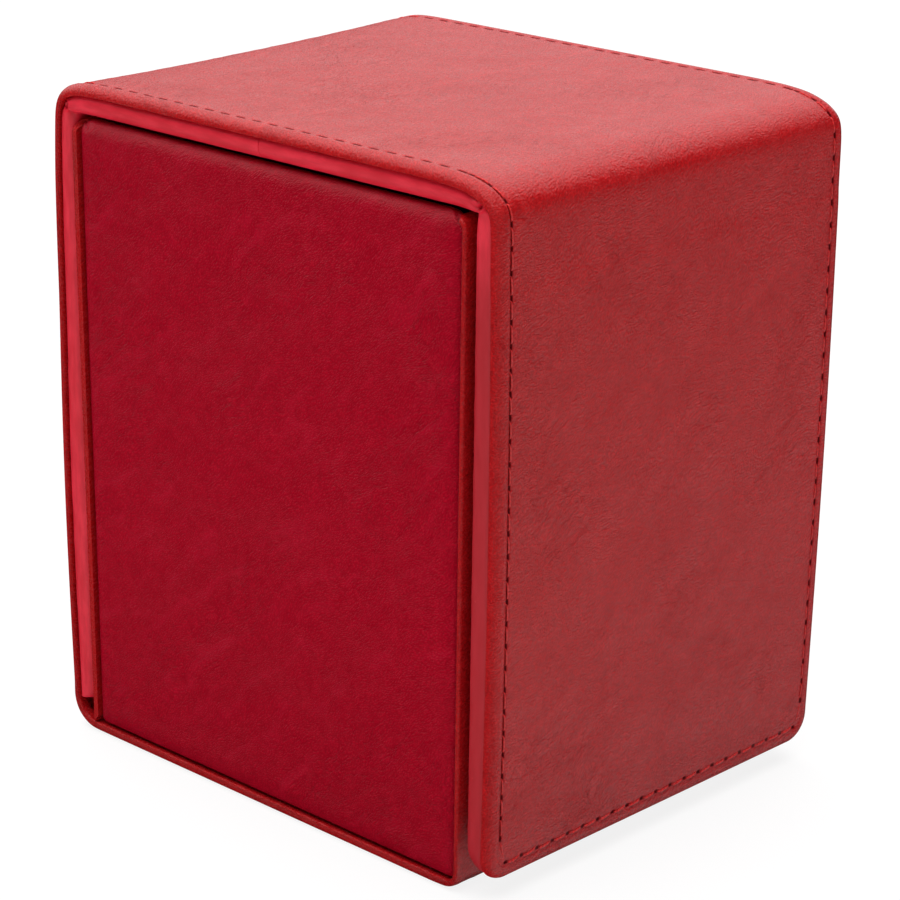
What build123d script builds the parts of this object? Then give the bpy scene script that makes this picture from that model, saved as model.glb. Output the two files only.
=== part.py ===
from build123d import *
import math
import os

os.makedirs("parts", exist_ok=True)

# Card deck box, millimetres: an open body inside a cover whose back, lid and
# front flap are joined by bent hinges along the two top edges.
# Origin: centre of the rest face.  X runs along both hinge lines,
# -Y is the opening front, +Y the back, +Z up.

# ---- driving dimensions --------------------------------------------------
width = 76.0            # X, full width of cover and body
depth = 94.5            # Y, flap face to back face
height = 108.0          # Z, rest face to lid face
bend_r = 8.0            # outer bend radius of the cover at both top edges
base_r = 6.0            # bend radius of the cover at the bottom back edge
toe_r = 2.5             # bend radius at the bottom front edge
gap = 0.05              # glue line between neighbouring pieces

# cover
skin = 0.9              # leatherette of the cover
fabric = 0.45           # smooth lining wrapped round the stiff boards
flap_strip = 3.55       # lined edge that shows beside the leather on the flap
lid_strip = 3.89        # the same edge on the lid
back_strip = 3.45       # and on the back panel
lid_in_z = 103.05       # underside of the lid lining
flap_in_y = 42.5        # |y| of the flap's inner face
back_in_y = 42.05       # y of the back panel's inner face
flap_z0 = 3.1           # lower edge of the flap leather
flap_lining_z0 = 5.4    # lower edge of the flap lining
back_lining_z0 = 4.9    # lower edge of the back panel lining
panel_end = 8.15        # panels stop this far inside the outer faces
strip_end = 7.6         # hinge strips stop this far inside the outer faces
lining_in = 0.3         # lined edges sit this far inside the cover edge
corner_r = 4.5          # lower corners of the flap leather
lining_corner_r = 4.0   # lower corners of the flap lining, outside
pocket_corner_r = 3.5   # and inside
leather_round = 0.35    # rounded outer edges of flap and lid leather
lining_round = 0.7      # rounded inner edges of flap and lid lining
back_lining_round = 0.9

# body
rim_z = 102.3           # top of the body walls
front_y = 41.05         # |y| of the body's front wall, outside
wall = 1.4              # side wall board
end_wall = 2.0          # front wall board
rear_wall = 1.45        # rear wall board
rear_ridge = 0.6        # leatherette edge of the rear wall
lining = 0.5            # microfibre
floor_t = 2.0
rim_skin = 0.7          # leatherette turned over the rim
turn_z = 96.0           # lower end of the turned-in leatherette
hem_z = 1.6             # top of the hems along the body's bottom
hem_len = 79.0
hem_y = 1.2             # y of the hem centres
hem_clear = 0.1         # hem to the pieces beside and above it

plate_board = 1.2       # room for the side plate board
plate_skin = 0.7        # side plate leatherette
plate_z0 = 1.75         # lower edge of the side plates
plate_y0 = -40.0        # front edge of the side plates
plate_y1 = 40.35        # back edge of the side plates
plate_corner_r = 1.0
roll_r = 1.2            # rolled edge of the side plates

notch_w = 30.0          # thumb notch in the front wall
notch_d = 13.0
notch_margin = 0.7      # board and microfibre stay this far back from it
notch_cut_y = -50.0     # the notch cutter starts here, ahead of the body
notch_cut_len = 20.0

# seams
stitch_in = 2.4         # seam line, inside the cover edge
stitch_pitch = 3.4
stitch_len = 2.4
stitch_w = 0.5
stitch_t = 0.3
bend_stitch_len = 1.9   # shorter, thinner stitches round the bends
bend_stitch_t = 0.24
stitch_tilt = 4         # degrees off the seam line on the long seams
foot_tilt = 6           # and along the foot of the flap
groove_w = 0.9          # sewn channel
groove_d = 0.36
stitch_depth = groove_d - 0.02  # base of the thread, just off the channel floor
side_row_z0 = 8.6       # lowest stitch of the upright seams
back_groove_z0 = 6.6    # lower end of the channels down the back

# magnets
magnet_r = 5.0
magnet_t = 1.5
magnet_chamfer = 0.2
magnet_x = 20.0
magnet_z = 22.0

# ---- derived -------------------------------------------------------------
hx = width / 2
hy = depth / 2
bend_y = hy - bend_r                   # |y| of both bend centres
bend_z = height - bend_r               # z of both bend centres
panel_y = hy - panel_end               # |y| where the lid panel stops
panel_z = height - panel_end           # z where flap and back panels stop
strip_y = hy - strip_end               # |y| where the hinge strips stop
strip_z = height - strip_end           # z where the hinge strips stop
lined_x = hx - lining_in               # half width of the lined edges
pocket_x = lined_x - fabric            # half width inside the lining
board_x = pocket_x - gap               # half width of the cover boards
board_in = fabric + gap                # lining face to board face

plate_in = hx - plate_skin - plate_board           # inner face of the side plates
wall_in = plate_in - wall                          # inner face of the side walls
bay_x = wall_in - lining - gap                     # half width of the card bay
end_x = plate_in - gap                             # half width of front and rear walls
front_board_y = -(front_y - skin - gap)            # outer face of the front wall board
front_in_y = front_board_y + end_wall              # inner face of the front wall board
ridge_y = back_in_y - gap                          # outer face of the rear ridge
rear_in_y = ridge_y - rear_ridge - gap - rear_wall # inner face of the rear wall board
bay_y0 = front_in_y + gap                          # ends of what lies between the walls
bay_y1 = rear_in_y - gap
board_z0 = skin + gap                              # underside of floor and wall boards
board_z1 = rim_z - rim_skin - gap                  # top of the wall boards
floor_z = board_z0 + floor_t                       # top of the floor board
fibre_z0 = floor_z + gap                           # microfibre on the walls, bottom
fibre_z1 = turn_z - gap                            # and top

notch_r = (notch_w * notch_w / 4 + notch_d * notch_d) / (2 * notch_d)
notch_centre = (0, rim_z - notch_d + notch_r)
magnet_places = [(-magnet_x, magnet_z), (magnet_x, magnet_z)]

seam_x = hx - stitch_in
seam_sides = (-seam_x, seam_x)
side_rows = [side_row_z0 + stitch_pitch * i for i in range(27)]
lid_rows = [stitch_pitch * (i - 11) for i in range(23)]
foot_rows = [stitch_pitch * (i - 10) for i in range(21)]
bend_step = math.degrees(stitch_pitch / bend_r)
bend_angles = [45 - bend_step, 45, 45 + bend_step]


# ---- helpers -------------------------------------------------------------
def upright(y):
    """XZ plane at y.  Its normal is -Y, so a negative extrusion runs to +Y."""
    return Plane.XZ.offset(-y)


def rect(u0, u1, v0, v1, mode=Mode.ADD):
    """Rectangle between two corners, for use inside a sketch."""
    with Locations(((u0 + u1) / 2, (v0 + v1) / 2)):
        Rectangle(u1 - u0, v1 - v0, mode=mode)


def band(half, v0, v1, mode=Mode.ADD):
    """Rectangle centred across the sketch, from v0 to v1."""
    rect(-half, half, v0, v1, mode)


def below_hinge(rim_edges):
    """The edges, less the one along the top end of the panel."""
    return rim_edges.filter_by(lambda e: e.center().Z < panel_z - 0.01)


def save(name, piece):
    piece.part.label = name
    export_step(piece.part, f"parts/{name}.step")
    return piece.part


def slab(name, plane, area, amount):
    """A plain sheet: the rectangle area = (u0, u1, v0, v1), extruded."""
    with BuildPart() as piece:
        with BuildSketch(plane):
            rect(*area)
        extrude(amount=amount)
    return save(name, piece)


def right_hand(name, left_part):
    with BuildPart() as piece:
        mirror(left_part, about=Plane.YZ)
    save(name, piece)


def stitching(name, plane, seams, amount=stitch_t):
    """Sewing thread, one short solid a stitch; seams = [(rotation, points)]."""
    with BuildPart() as piece:
        with BuildSketch(plane):
            for rotation, points in seams:
                with Locations(*points):
                    SlotOverall(stitch_len, stitch_w, rotation=rotation)
        extrude(amount=amount)
    save(name, piece)


def both_seams(rows):
    return [(x, row) for x in seam_sides for row in rows]


def magnets(name, y, amount):
    with BuildPart() as piece:
        with BuildSketch(upright(y)):
            with Locations(*magnet_places):
                Circle(magnet_r)
        extrude(amount=amount)
        chamfer(edges().filter_by(GeomType.CIRCLE), magnet_chamfer)
    save(name, piece)


# ---- flap ----------------------------------------------------------------
def flap_leather():
    """Cover sheet with the sewn channel down both sides and across the foot."""
    channel_out = stitch_in - groove_w / 2
    channel_in = stitch_in + groove_w / 2
    with BuildPart() as piece:
        with BuildSketch(upright(-hy)):
            band(hx, flap_z0, panel_z)
            fillet(vertices().group_by(Axis.Y)[0], corner_r)
        extrude(amount=-skin)
        rim = faces().sort_by(Axis.Y)[0].edges()
        fillet(below_hinge(rim), leather_round)
        with BuildSketch(upright(-hy)):
            band(hx - channel_out, flap_z0 + channel_out, panel_z + channel_out)
            band(hx - channel_in, flap_z0 + channel_in, panel_z + channel_in, Mode.SUBTRACT)
        extrude(amount=-groove_d, mode=Mode.SUBTRACT)
    save("flap_leather", piece)


def flap_lining():
    """Smooth lining, folded round the edges of the flap board."""
    with BuildPart() as piece:
        with BuildSketch(upright(-(flap_in_y + flap_strip))):
            band(lined_x, flap_lining_z0, panel_z)
            fillet(vertices().group_by(Axis.Y)[0], lining_corner_r)
        extrude(amount=-flap_strip)
        inner_rim = faces().sort_by(Axis.Y)[-1].edges()
        fillet(below_hinge(inner_rim), lining_round)
        with BuildSketch(upright(-(flap_in_y + flap_strip))):
            band(pocket_x, flap_lining_z0 + fabric, panel_z - fabric)
            fillet(vertices().group_by(Axis.Y)[0], pocket_corner_r)
        extrude(amount=-(flap_strip - fabric), mode=Mode.SUBTRACT)
    save("flap_lining", piece)


def flap_board():
    """Greyboard that stiffens the flap, with two blind magnet pockets."""
    inner_y = flap_in_y + board_in
    with BuildPart() as piece:
        with BuildSketch(upright(-inner_y)):
            band(board_x, flap_lining_z0 + board_in, panel_z - board_in)
            fillet(vertices().group_by(Axis.Y)[0], pocket_corner_r - gap)
        extrude(amount=hy - skin - gap - inner_y)
        with BuildSketch(upright(-inner_y)):
            with Locations(*magnet_places):
                Circle(magnet_r + gap)
        extrude(amount=magnet_t + 2 * gap, mode=Mode.SUBTRACT)
    save("flap_board", piece)


flap_leather()
flap_lining()
flap_board()
magnets("flap_magnets", -(flap_in_y + board_in + gap), magnet_t)
stitching(
    "flap_stitching",
    upright(-(hy - stitch_depth)),
    [
        (90 - stitch_tilt, both_seams(side_rows)),
        (foot_tilt, [(x, flap_z0 + stitch_in) for x in foot_rows]),
    ],
)


# ---- lid -----------------------------------------------------------------
def lid_leather():
    with BuildPart() as piece:
        with BuildSketch(Plane.XY.offset(height)):
            Rectangle(width, 2 * panel_y)
        extrude(amount=-skin)
        rim = faces().sort_by(Axis.Z)[-1].edges().filter_by(Axis.Y)
        fillet(rim, leather_round)
        with BuildSketch(Plane.XY.offset(height)):
            with Locations((-seam_x, 0), (seam_x, 0)):
                Rectangle(groove_w, 2 * panel_y)
        extrude(amount=-groove_d, mode=Mode.SUBTRACT)
    save("lid_leather", piece)


def lid_lining():
    with BuildPart() as piece:
        with BuildSketch(Plane.XY.offset(lid_in_z)):
            Rectangle(2 * lined_x, 2 * panel_y)
        extrude(amount=lid_strip)
        fillet(faces().sort_by(Axis.Z)[0].edges().filter_by(Axis.Y), lining_round)
        with BuildSketch(Plane.XY.offset(lid_in_z + fabric)):
            Rectangle(2 * pocket_x, 2 * (panel_y - fabric))
        extrude(amount=lid_strip, mode=Mode.SUBTRACT)
    save("lid_lining", piece)


lid_leather()
lid_lining()
slab(
    "lid_board",
    Plane.XY.offset(lid_in_z + board_in),
    (-board_x, board_x, -(panel_y - board_in), panel_y - board_in),
    height - skin - gap - (lid_in_z + board_in),
)
stitching(
    "lid_stitching",
    Plane.XY.offset(height - stitch_depth),
    [(90 - stitch_tilt, both_seams(lid_rows))],
)


# ---- hinges --------------------------------------------------------------
# side is -1 for the front edge of the lid and +1 for the rear edge
def hinge_leather(name, side):
    """Flexible leatherette bent round a top edge, with its sewn channels."""
    with BuildPart() as piece:
        with BuildSketch(Plane.YZ.offset(-hx)):
            with Locations((side * bend_y, bend_z)):
                Circle(bend_r)
                Circle(bend_r - skin, mode=Mode.SUBTRACT)
            with Locations((side * (hy + strip_y) / 2, (height + strip_z) / 2)):
                Rectangle(strip_end, strip_end, mode=Mode.INTERSECT)
        extrude(amount=width)
        with BuildSketch(*[Plane.YZ.offset(x - groove_w / 2) for x in seam_sides]):
            with Locations((side * bend_y, bend_z)):
                Circle(bend_r + 1)
                Circle(bend_r - groove_d, mode=Mode.SUBTRACT)
        extrude(amount=groove_w, mode=Mode.SUBTRACT)
    save(name, piece)


def hinge_lining(name, side, inner_y):
    """Fills the bend, cut back to the inner faces of lid and panel."""
    cutter = 20
    with BuildPart() as piece:
        with BuildSketch(Plane.YZ.offset(-lined_x)):
            with Locations((side * bend_y, bend_z)):
                Circle(bend_r - skin - lining_in)
            with Locations((side * (hy + strip_y) / 2, (height + strip_z) / 2)):
                Rectangle(strip_end, strip_end, mode=Mode.INTERSECT)
            with Locations((side * (inner_y - cutter / 2), lid_in_z - cutter / 2)):
                Rectangle(cutter, cutter, mode=Mode.SUBTRACT)
        extrude(amount=2 * lined_x)
    save(name, piece)


def bend_plane(side, x, angle):
    """Plane square to the bend radius, at the base of the thread."""
    out = side * math.cos(math.radians(angle))
    up = math.sin(math.radians(angle))
    thread_r = bend_r - stitch_depth
    return Plane(
        origin=(x, side * bend_y + thread_r * out, bend_z + thread_r * up),
        x_dir=(1, 0, 0),
        z_dir=(0, out, up),
    )


def hinge_stitching(name, side):
    planes = [bend_plane(side, x, angle) for x in seam_sides for angle in bend_angles]
    with BuildPart() as piece:
        with BuildSketch(*planes):
            SlotOverall(bend_stitch_len, stitch_w, rotation=90 - stitch_tilt)
        extrude(amount=bend_stitch_t)
    save(name, piece)


for edge_name, side, inner_y in (("front", -1, flap_in_y), ("rear", 1, back_in_y)):
    hinge_leather(f"{edge_name}_hinge_leather", side)
    hinge_lining(f"{edge_name}_hinge_lining", side, inner_y)
    hinge_stitching(f"{edge_name}_hinge_stitching", side)


# ---- body wrap and back panel --------------------------------------------
def body_wrap_leather():
    """One sheet down the back, under the floor and up the front wall."""
    with BuildPart() as piece:
        with BuildSketch(Plane.YZ.offset(-hx)):
            with BuildLine():
                Polyline((-front_y, rim_z), (-front_y, toe_r))
                CenterArc((-front_y + toe_r, toe_r), toe_r, 180, 90)
                Line((-front_y + toe_r, 0), (hy - base_r, 0))
                CenterArc((hy - base_r, base_r), base_r, -90, 90)
                Polyline((hy, base_r), (hy, panel_z), (hy - skin, panel_z), (hy - skin, base_r))
                CenterArc((hy - base_r, base_r), base_r - skin, 0, -90)
                Line((hy - base_r, skin), (-front_y + toe_r, skin))
                CenterArc((-front_y + toe_r, toe_r), toe_r - skin, -90, -90)
                Polyline((-front_y + skin, toe_r), (-front_y + skin, rim_z), (-front_y, rim_z))
            make_face()
        extrude(amount=width)
        # over the front rim, then down inside the card bay
        with BuildSketch(Plane.YZ.offset(-end_x)):
            rect(-front_y, front_in_y, rim_z - rim_skin, rim_z)
        extrude(amount=2 * end_x)
        with BuildSketch(Plane.YZ.offset(-bay_x)):
            rect(front_in_y, front_in_y + gap + lining, turn_z, rim_z)
        extrude(amount=2 * bay_x)
        # hems along both bottom edges
        hem_in = plate_in + hem_clear
        with BuildSketch(Plane.XY.offset(skin)):
            with Locations((-(hx + hem_in) / 2, hem_y), ((hx + hem_in) / 2, hem_y)):
                Rectangle(hx - hem_in, hem_len)
        extrude(amount=hem_z - skin)
        # thumb notch
        with BuildSketch(upright(notch_cut_y)):
            with Locations(notch_centre):
                Circle(notch_r)
        extrude(amount=-notch_cut_len, mode=Mode.SUBTRACT)
        # sewn channels down the back
        groove_mid_z = (panel_z + back_groove_z0) / 2
        with BuildSketch(upright(hy)):
            with Locations((-seam_x, groove_mid_z), (seam_x, groove_mid_z)):
                Rectangle(groove_w, panel_z - back_groove_z0)
        extrude(amount=groove_d, mode=Mode.SUBTRACT)
    save("body_wrap_leather", piece)


def back_lining():
    """Smooth lining, folded round the edges of the back board."""
    with BuildPart() as piece:
        with BuildSketch(upright(back_in_y + back_strip)):
            band(lined_x, back_lining_z0, panel_z)
        extrude(amount=back_strip)
        fillet(faces().sort_by(Axis.Y)[0].edges().filter_by(Axis.Z), back_lining_round)
        with BuildSketch(upright(back_in_y + fabric)):
            band(pocket_x, back_lining_z0 + fabric, panel_z - fabric)
        extrude(amount=-back_strip, mode=Mode.SUBTRACT)
    save("back_lining", piece)


body_wrap_leather()
stitching(
    "back_stitching",
    upright(hy - stitch_depth),
    [(90 + stitch_tilt, both_seams(side_rows))],
    amount=-stitch_t,
)
back_lining()
slab(
    "back_board",
    upright(back_in_y + board_in),
    (-board_x, board_x, back_lining_z0 + board_in, panel_z - board_in),
    -(hy - skin - gap - (back_in_y + board_in)),
)


# ---- body walls and floor ------------------------------------------------
def front_wall_board():
    """Front wall with the thumb notch and two magnet pockets."""
    with BuildPart() as piece:
        with BuildSketch(upright(front_board_y)):
            band(end_x, toe_r, board_z1)
            with Locations(notch_centre):
                Circle(notch_r + notch_margin, mode=Mode.SUBTRACT)
        extrude(amount=-end_wall)
        with BuildSketch(upright(front_board_y)):
            with Locations(*magnet_places):
                Circle(magnet_r + gap)
        extrude(amount=-(magnet_t + 2 * gap), mode=Mode.SUBTRACT)
    save("front_wall_board", piece)


def rear_wall_leather():
    """Sheet over the rear wall.  Its edges form the ridge behind the side
    plates, and it turns in over the rear rim."""
    with BuildPart() as piece:
        with BuildSketch(Plane.YZ.offset(-hx)):
            rect(ridge_y - rear_ridge, ridge_y, hem_z + hem_clear, rim_z)
        extrude(amount=width)
        with BuildSketch(Plane.YZ.offset(-end_x)):
            rect(rear_in_y, ridge_y, rim_z - rim_skin, rim_z)
        extrude(amount=2 * end_x)
        with BuildSketch(Plane.YZ.offset(-bay_x)):
            rect(rear_in_y - gap - lining, rear_in_y, turn_z, rim_z)
        extrude(amount=2 * bay_x)
    save("rear_wall_leather", piece)


front_wall_board()
magnets("body_magnets", front_board_y + gap, -magnet_t)
slab("rear_wall_board", upright(rear_in_y), (-end_x, end_x, board_z0, board_z1), -rear_wall)
rear_wall_leather()
slab(
    "floor_board",
    Plane.XY.offset(board_z0),
    (-(wall_in - gap), wall_in - gap, bay_y0, bay_y1),
    floor_t,
)
left_wall = slab(
    "left_wall_board", Plane.YZ.offset(-plate_in), (bay_y0, bay_y1, board_z0, board_z1), wall
)
right_hand("right_wall_board", left_wall)


# ---- side plates ---------------------------------------------------------
def plate_area(inset):
    return (plate_y0 + inset, plate_y1 - inset, plate_z0 + inset, rim_z - inset)


def left_plate_leather():
    """Shallow tray with rolled edges round the plate board, carried over the
    rim and turned down inside the card bay."""
    with BuildPart() as piece:
        with BuildSketch(Plane.YZ.offset(-hx)):
            with Locations(((plate_y0 + plate_y1) / 2, (plate_z0 + rim_z) / 2)):
                RectangleRounded(plate_y1 - plate_y0, rim_z - plate_z0, plate_corner_r)
        extrude(amount=hx - plate_in - gap / 2)
        fillet(faces().sort_by(Axis.X)[0].edges(), roll_r)
        with BuildSketch(Plane.YZ.offset(-(plate_in + gap / 2))):
            rect(*plate_area(plate_skin))
        extrude(amount=-(plate_board - gap / 2), mode=Mode.SUBTRACT)
        turned_x = -(bay_x + gap)
        with BuildSketch(upright(bay_y0)):
            rect(-(hx - roll_r), turned_x, rim_z - rim_skin, rim_z)
            rect(turned_x - lining, turned_x, turn_z, rim_z)
        extrude(amount=-(bay_y1 - bay_y0))
    return save("left_plate_leather", piece)


left_board = slab(
    "left_plate_board",
    Plane.YZ.offset(-(plate_in + gap)),
    plate_area(plate_skin + gap),
    -(plate_board - 2 * gap),
)
right_hand("right_plate_board", left_board)
right_hand("right_plate_leather", left_plate_leather())


# ---- microfibre of the card bay ------------------------------------------
def front_microfibre():
    with BuildPart() as piece:
        with BuildSketch(upright(bay_y0)):
            band(bay_x, fibre_z0, fibre_z1)
            with Locations(notch_centre):
                Circle(notch_r + notch_margin, mode=Mode.SUBTRACT)
        extrude(amount=-lining)
    save("front_microfibre", piece)


front_microfibre()
slab("rear_microfibre", upright(bay_y1), (-bay_x, bay_x, fibre_z0, fibre_z1), lining)
left_fibre = slab(
    "left_microfibre",
    Plane.YZ.offset(-(wall_in - gap)),
    (bay_y0, bay_y1, fibre_z0, fibre_z1),
    lining - gap,
)
right_hand("right_microfibre", left_fibre)
slab(
    "floor_microfibre",
    Plane.XY.offset(floor_z + gap),
    (-(bay_x - gap), bay_x - gap, bay_y0 + lining + gap, bay_y1 - lining - gap),
    lining,
)
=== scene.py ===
import math

import bmesh
import bpy
import numpy as np
from mathutils import Matrix, Vector


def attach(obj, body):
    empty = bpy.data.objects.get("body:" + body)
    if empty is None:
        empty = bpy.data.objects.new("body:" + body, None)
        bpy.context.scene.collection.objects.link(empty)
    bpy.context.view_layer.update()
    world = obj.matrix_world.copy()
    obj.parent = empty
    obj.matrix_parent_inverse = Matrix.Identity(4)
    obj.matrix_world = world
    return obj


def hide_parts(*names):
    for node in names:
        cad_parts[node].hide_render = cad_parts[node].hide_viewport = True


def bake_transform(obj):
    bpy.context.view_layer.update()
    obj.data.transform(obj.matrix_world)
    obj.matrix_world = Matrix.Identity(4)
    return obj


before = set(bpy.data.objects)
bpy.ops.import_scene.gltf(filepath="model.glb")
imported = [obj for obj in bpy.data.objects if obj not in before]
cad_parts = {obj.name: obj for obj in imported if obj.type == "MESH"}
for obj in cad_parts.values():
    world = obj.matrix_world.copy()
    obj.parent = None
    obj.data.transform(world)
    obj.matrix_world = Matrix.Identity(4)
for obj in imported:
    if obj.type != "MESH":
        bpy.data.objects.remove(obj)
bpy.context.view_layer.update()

# ---------------------------------------------------------------- sizes, mm
HX, HY, HZ = 38.0, 47.25, 108.0
RIM = 102.3
LIN = 103.05      # underside of the lid lining
FIN = 42.5        # |y| of the flap lining's inner face
BIN = 41.65       # y of the back lining's inner face
TURN = 96.0
PITCH = 3.4
SEAM = 2.6
FOOT = 3.0
FLAP_Z0 = 3.1
CORNER = 4.5


def sstep(a, b, x):
    t = np.clip((np.asarray(x, float) - a) / (b - a), 0, 1)
    return t * t * (3 - 2 * t)


def vnoise(u, v, seed, octaves=3, gain=0.5):
    """Smooth value noise in [-1, 1] on a unit lattice."""
    out, amp, tot = 0.0, 1.0, 0.0
    u, v = np.asarray(u, float), np.asarray(v, float)
    for k in range(octaves):
        tab = np.random.RandomState(seed + 17 * k).rand(257, 257) * 2 - 1
        iu, iv = np.floor(u).astype(int), np.floor(v).astype(int)
        fu, fv = u - iu, v - iv
        fu, fv = fu * fu * (3 - 2 * fu), fv * fv * (3 - 2 * fv)
        a, b = iu % 256, iv % 256
        n = (tab[a, b] * (1 - fu) * (1 - fv) + tab[a + 1, b] * fu * (1 - fv)
             + tab[a, b + 1] * (1 - fu) * fv + tab[a + 1, b + 1] * fu * fv)
        out, tot, amp = out + amp * n, tot + amp, amp * gain
        u, v = u * 2.03 + 11.7, v * 2.03 + 5.3
    return out / tot


def smooth_line(pts, step=0.12, sigma=0.5):
    """Dense, evenly spaced, gently smoothed copy of a 2-D polyline, ends kept."""
    p = np.array(pts, float)
    s = np.r_[0, np.cumsum(np.hypot(*np.diff(p, axis=0).T))]
    n = int(s[-1] / step) + 1
    q = np.linspace(0, s[-1], n)
    d = np.c_[np.interp(q, s, p[:, 0]), np.interp(q, s, p[:, 1])]
    w = max(1, int(3 * sigma / step))
    k = np.exp(-0.5 * (np.arange(-w, w + 1) * step / sigma) ** 2)
    k /= k.sum()
    a = np.vstack([2 * d[0] - d[w:0:-1], d, 2 * d[-1] - d[-2:-w - 2:-1]])
    return np.c_[np.convolve(a[:, 0], k, "valid"), np.convolve(a[:, 1], k, "valid")]


def spline(pts, n=14):
    """Catmull-Rom through the points."""
    p = np.array(pts, float)
    p = np.vstack([2 * p[0] - p[1], p, 2 * p[-1] - p[-2]])
    out = []
    for i in range(1, len(p) - 2):
        for t in np.linspace(0, 1, n, endpoint=False):
            a, b, c, d = p[i - 1], p[i], p[i + 1], p[i + 2]
            out.append(0.5 * (2 * b + (c - a) * t + (2 * a - 5 * b + 4 * c - d) * t * t
                              + (3 * b - a - 3 * c + d) * t ** 3))
    out.append(p[-2])
    return np.array(out)


def arc(cx, cy, r, a0, a1, n=24, ry=None):
    a = np.radians(np.linspace(a0, a1, n))
    return np.c_[cx + r * np.cos(a), cy + (ry or r) * np.sin(a)]


class Path:
    """A 2-D line with arc length, its outward side on the left."""

    def __init__(self, pts, sigma=0.5):
        self.p = smooth_line(pts, sigma=sigma)
        self.s = np.r_[0, np.cumsum(np.hypot(*np.diff(self.p, axis=0).T))]
        self.L = self.s[-1]
        t = np.gradient(self.p, self.s, axis=0)
        t /= np.linalg.norm(t, axis=1)[:, None]
        self.n = np.c_[-t[:, 1], t[:, 0]]

    def at(self, s, depth=0.0):
        s = np.asarray(s, float)
        p = np.stack([np.interp(s, self.s, self.p[:, i]) for i in (0, 1)], -1)
        n = np.stack([np.interp(s, self.s, self.n[:, i]) for i in (0, 1)], -1)
        n /= np.linalg.norm(n, axis=-1)[..., None]
        return p - n * np.asarray(depth, float)[..., None]

    def find(self, f):
        """Arc length at which f(y, z) is smallest."""
        return self.s[np.argmin(f(self.p[:, 0], self.p[:, 1]))]


# the cover in section (y, z): flap, front bend, lid, rear bend, back, foot,
# toe, front wall, over its rim and down inside
front_bend = [(-HY + a, HZ - b) for a, b in
              [(-0.1, 14), (-0.08, 11), (-0.06, 9), (-0.03, 7.2), (0.1, 5.35), (0.52, 3.8), (1.55, 2.6),
               (3.4, 1.5), (6.3, 0.6), (9.75, 0.2), (13, 0.06), (17, 0)]]
rear_bend = [(HY - a, HZ - b) for a, b in
             [(16, 0), (12.5, 0.0), (9.5, 0.06), (6.8, 0.28), (4.0, 0.95), (2.35, 1.95), (1.4, 3.35), (0.95, 5.0),
              (0.70, 7.6), (0.45, 11.6), (0.25, 16), (0.08, 24), (0.0, 34)]]
flap_line = [(-HY - 0.52 * math.sin(math.pi * (z - 2) / 104), z) for z in np.linspace(FLAP_Z0, 92, 40)]
line = (flap_line + list(map(tuple, spline(front_bend))) + [(0, HZ)]
        + list(map(tuple, spline(rear_bend))) + [(HY + 0.55 * math.sin(math.pi * (z - 5) / 68), z) for z in np.linspace(70, 8, 26)]
        + list(map(tuple, arc(HY - 6, 6, 6, 0, -90))) + [(0, 0)]
        + list(map(tuple, arc(-38.2, 2.85, 2.85, -90, -180))) + [(-41.05, 50), (-41.05, RIM - 2.0)]
        + list(map(tuple, arc(-39.3, RIM - 1.75, 1.75, 180, 0))) + [(-37.55, TURN)])
cover = Path(line, sigma=0.55)
S_MID = cover.find(lambda y, z: np.abs(y) + (z < 50) * 1e3)
S_FB0 = cover.find(lambda y, z: np.abs(z - 98) + (y > -45) * 1e3)
S_FB1 = cover.find(lambda y, z: np.abs(y + 36) + (z < 60) * 1e3)
S_RB0 = cover.find(lambda y, z: np.abs(y - 36) + (z < 60) * 1e3)
S_RB1 = cover.find(lambda y, z: np.abs(z - 92) + (y < 0) * 1e3)
S_BASE = cover.find(lambda y, z: np.abs(z - 7) + (y < 0) * 1e3)
S_TOE = cover.find(lambda y, z: np.abs(y + 38.2) + (z > 1) * 1e3)
S_WALL = cover.find(lambda y, z: np.abs(z - 4.0) + (y > -40.9) * 1e3 + (y < -42) * 1e3)
S_RIM0 = cover.find(lambda y, z: np.abs(z - 101) + (y > -41) * 1e3 + (y < -42) * 1e3)
S_RIM1 = cover.find(lambda y, z: np.abs(z - 101) + (y < -38) * 1e3 + (y > -37) * 1e3)

# ---------------------------------------------------------------- materials
def nodes_of(name):
    m = bpy.data.materials.new(name)
    m.use_nodes = True
    nt = m.node_tree
    return m, nt, nt.nodes["Principled BSDF"], nt.nodes["Material Output"]


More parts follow.
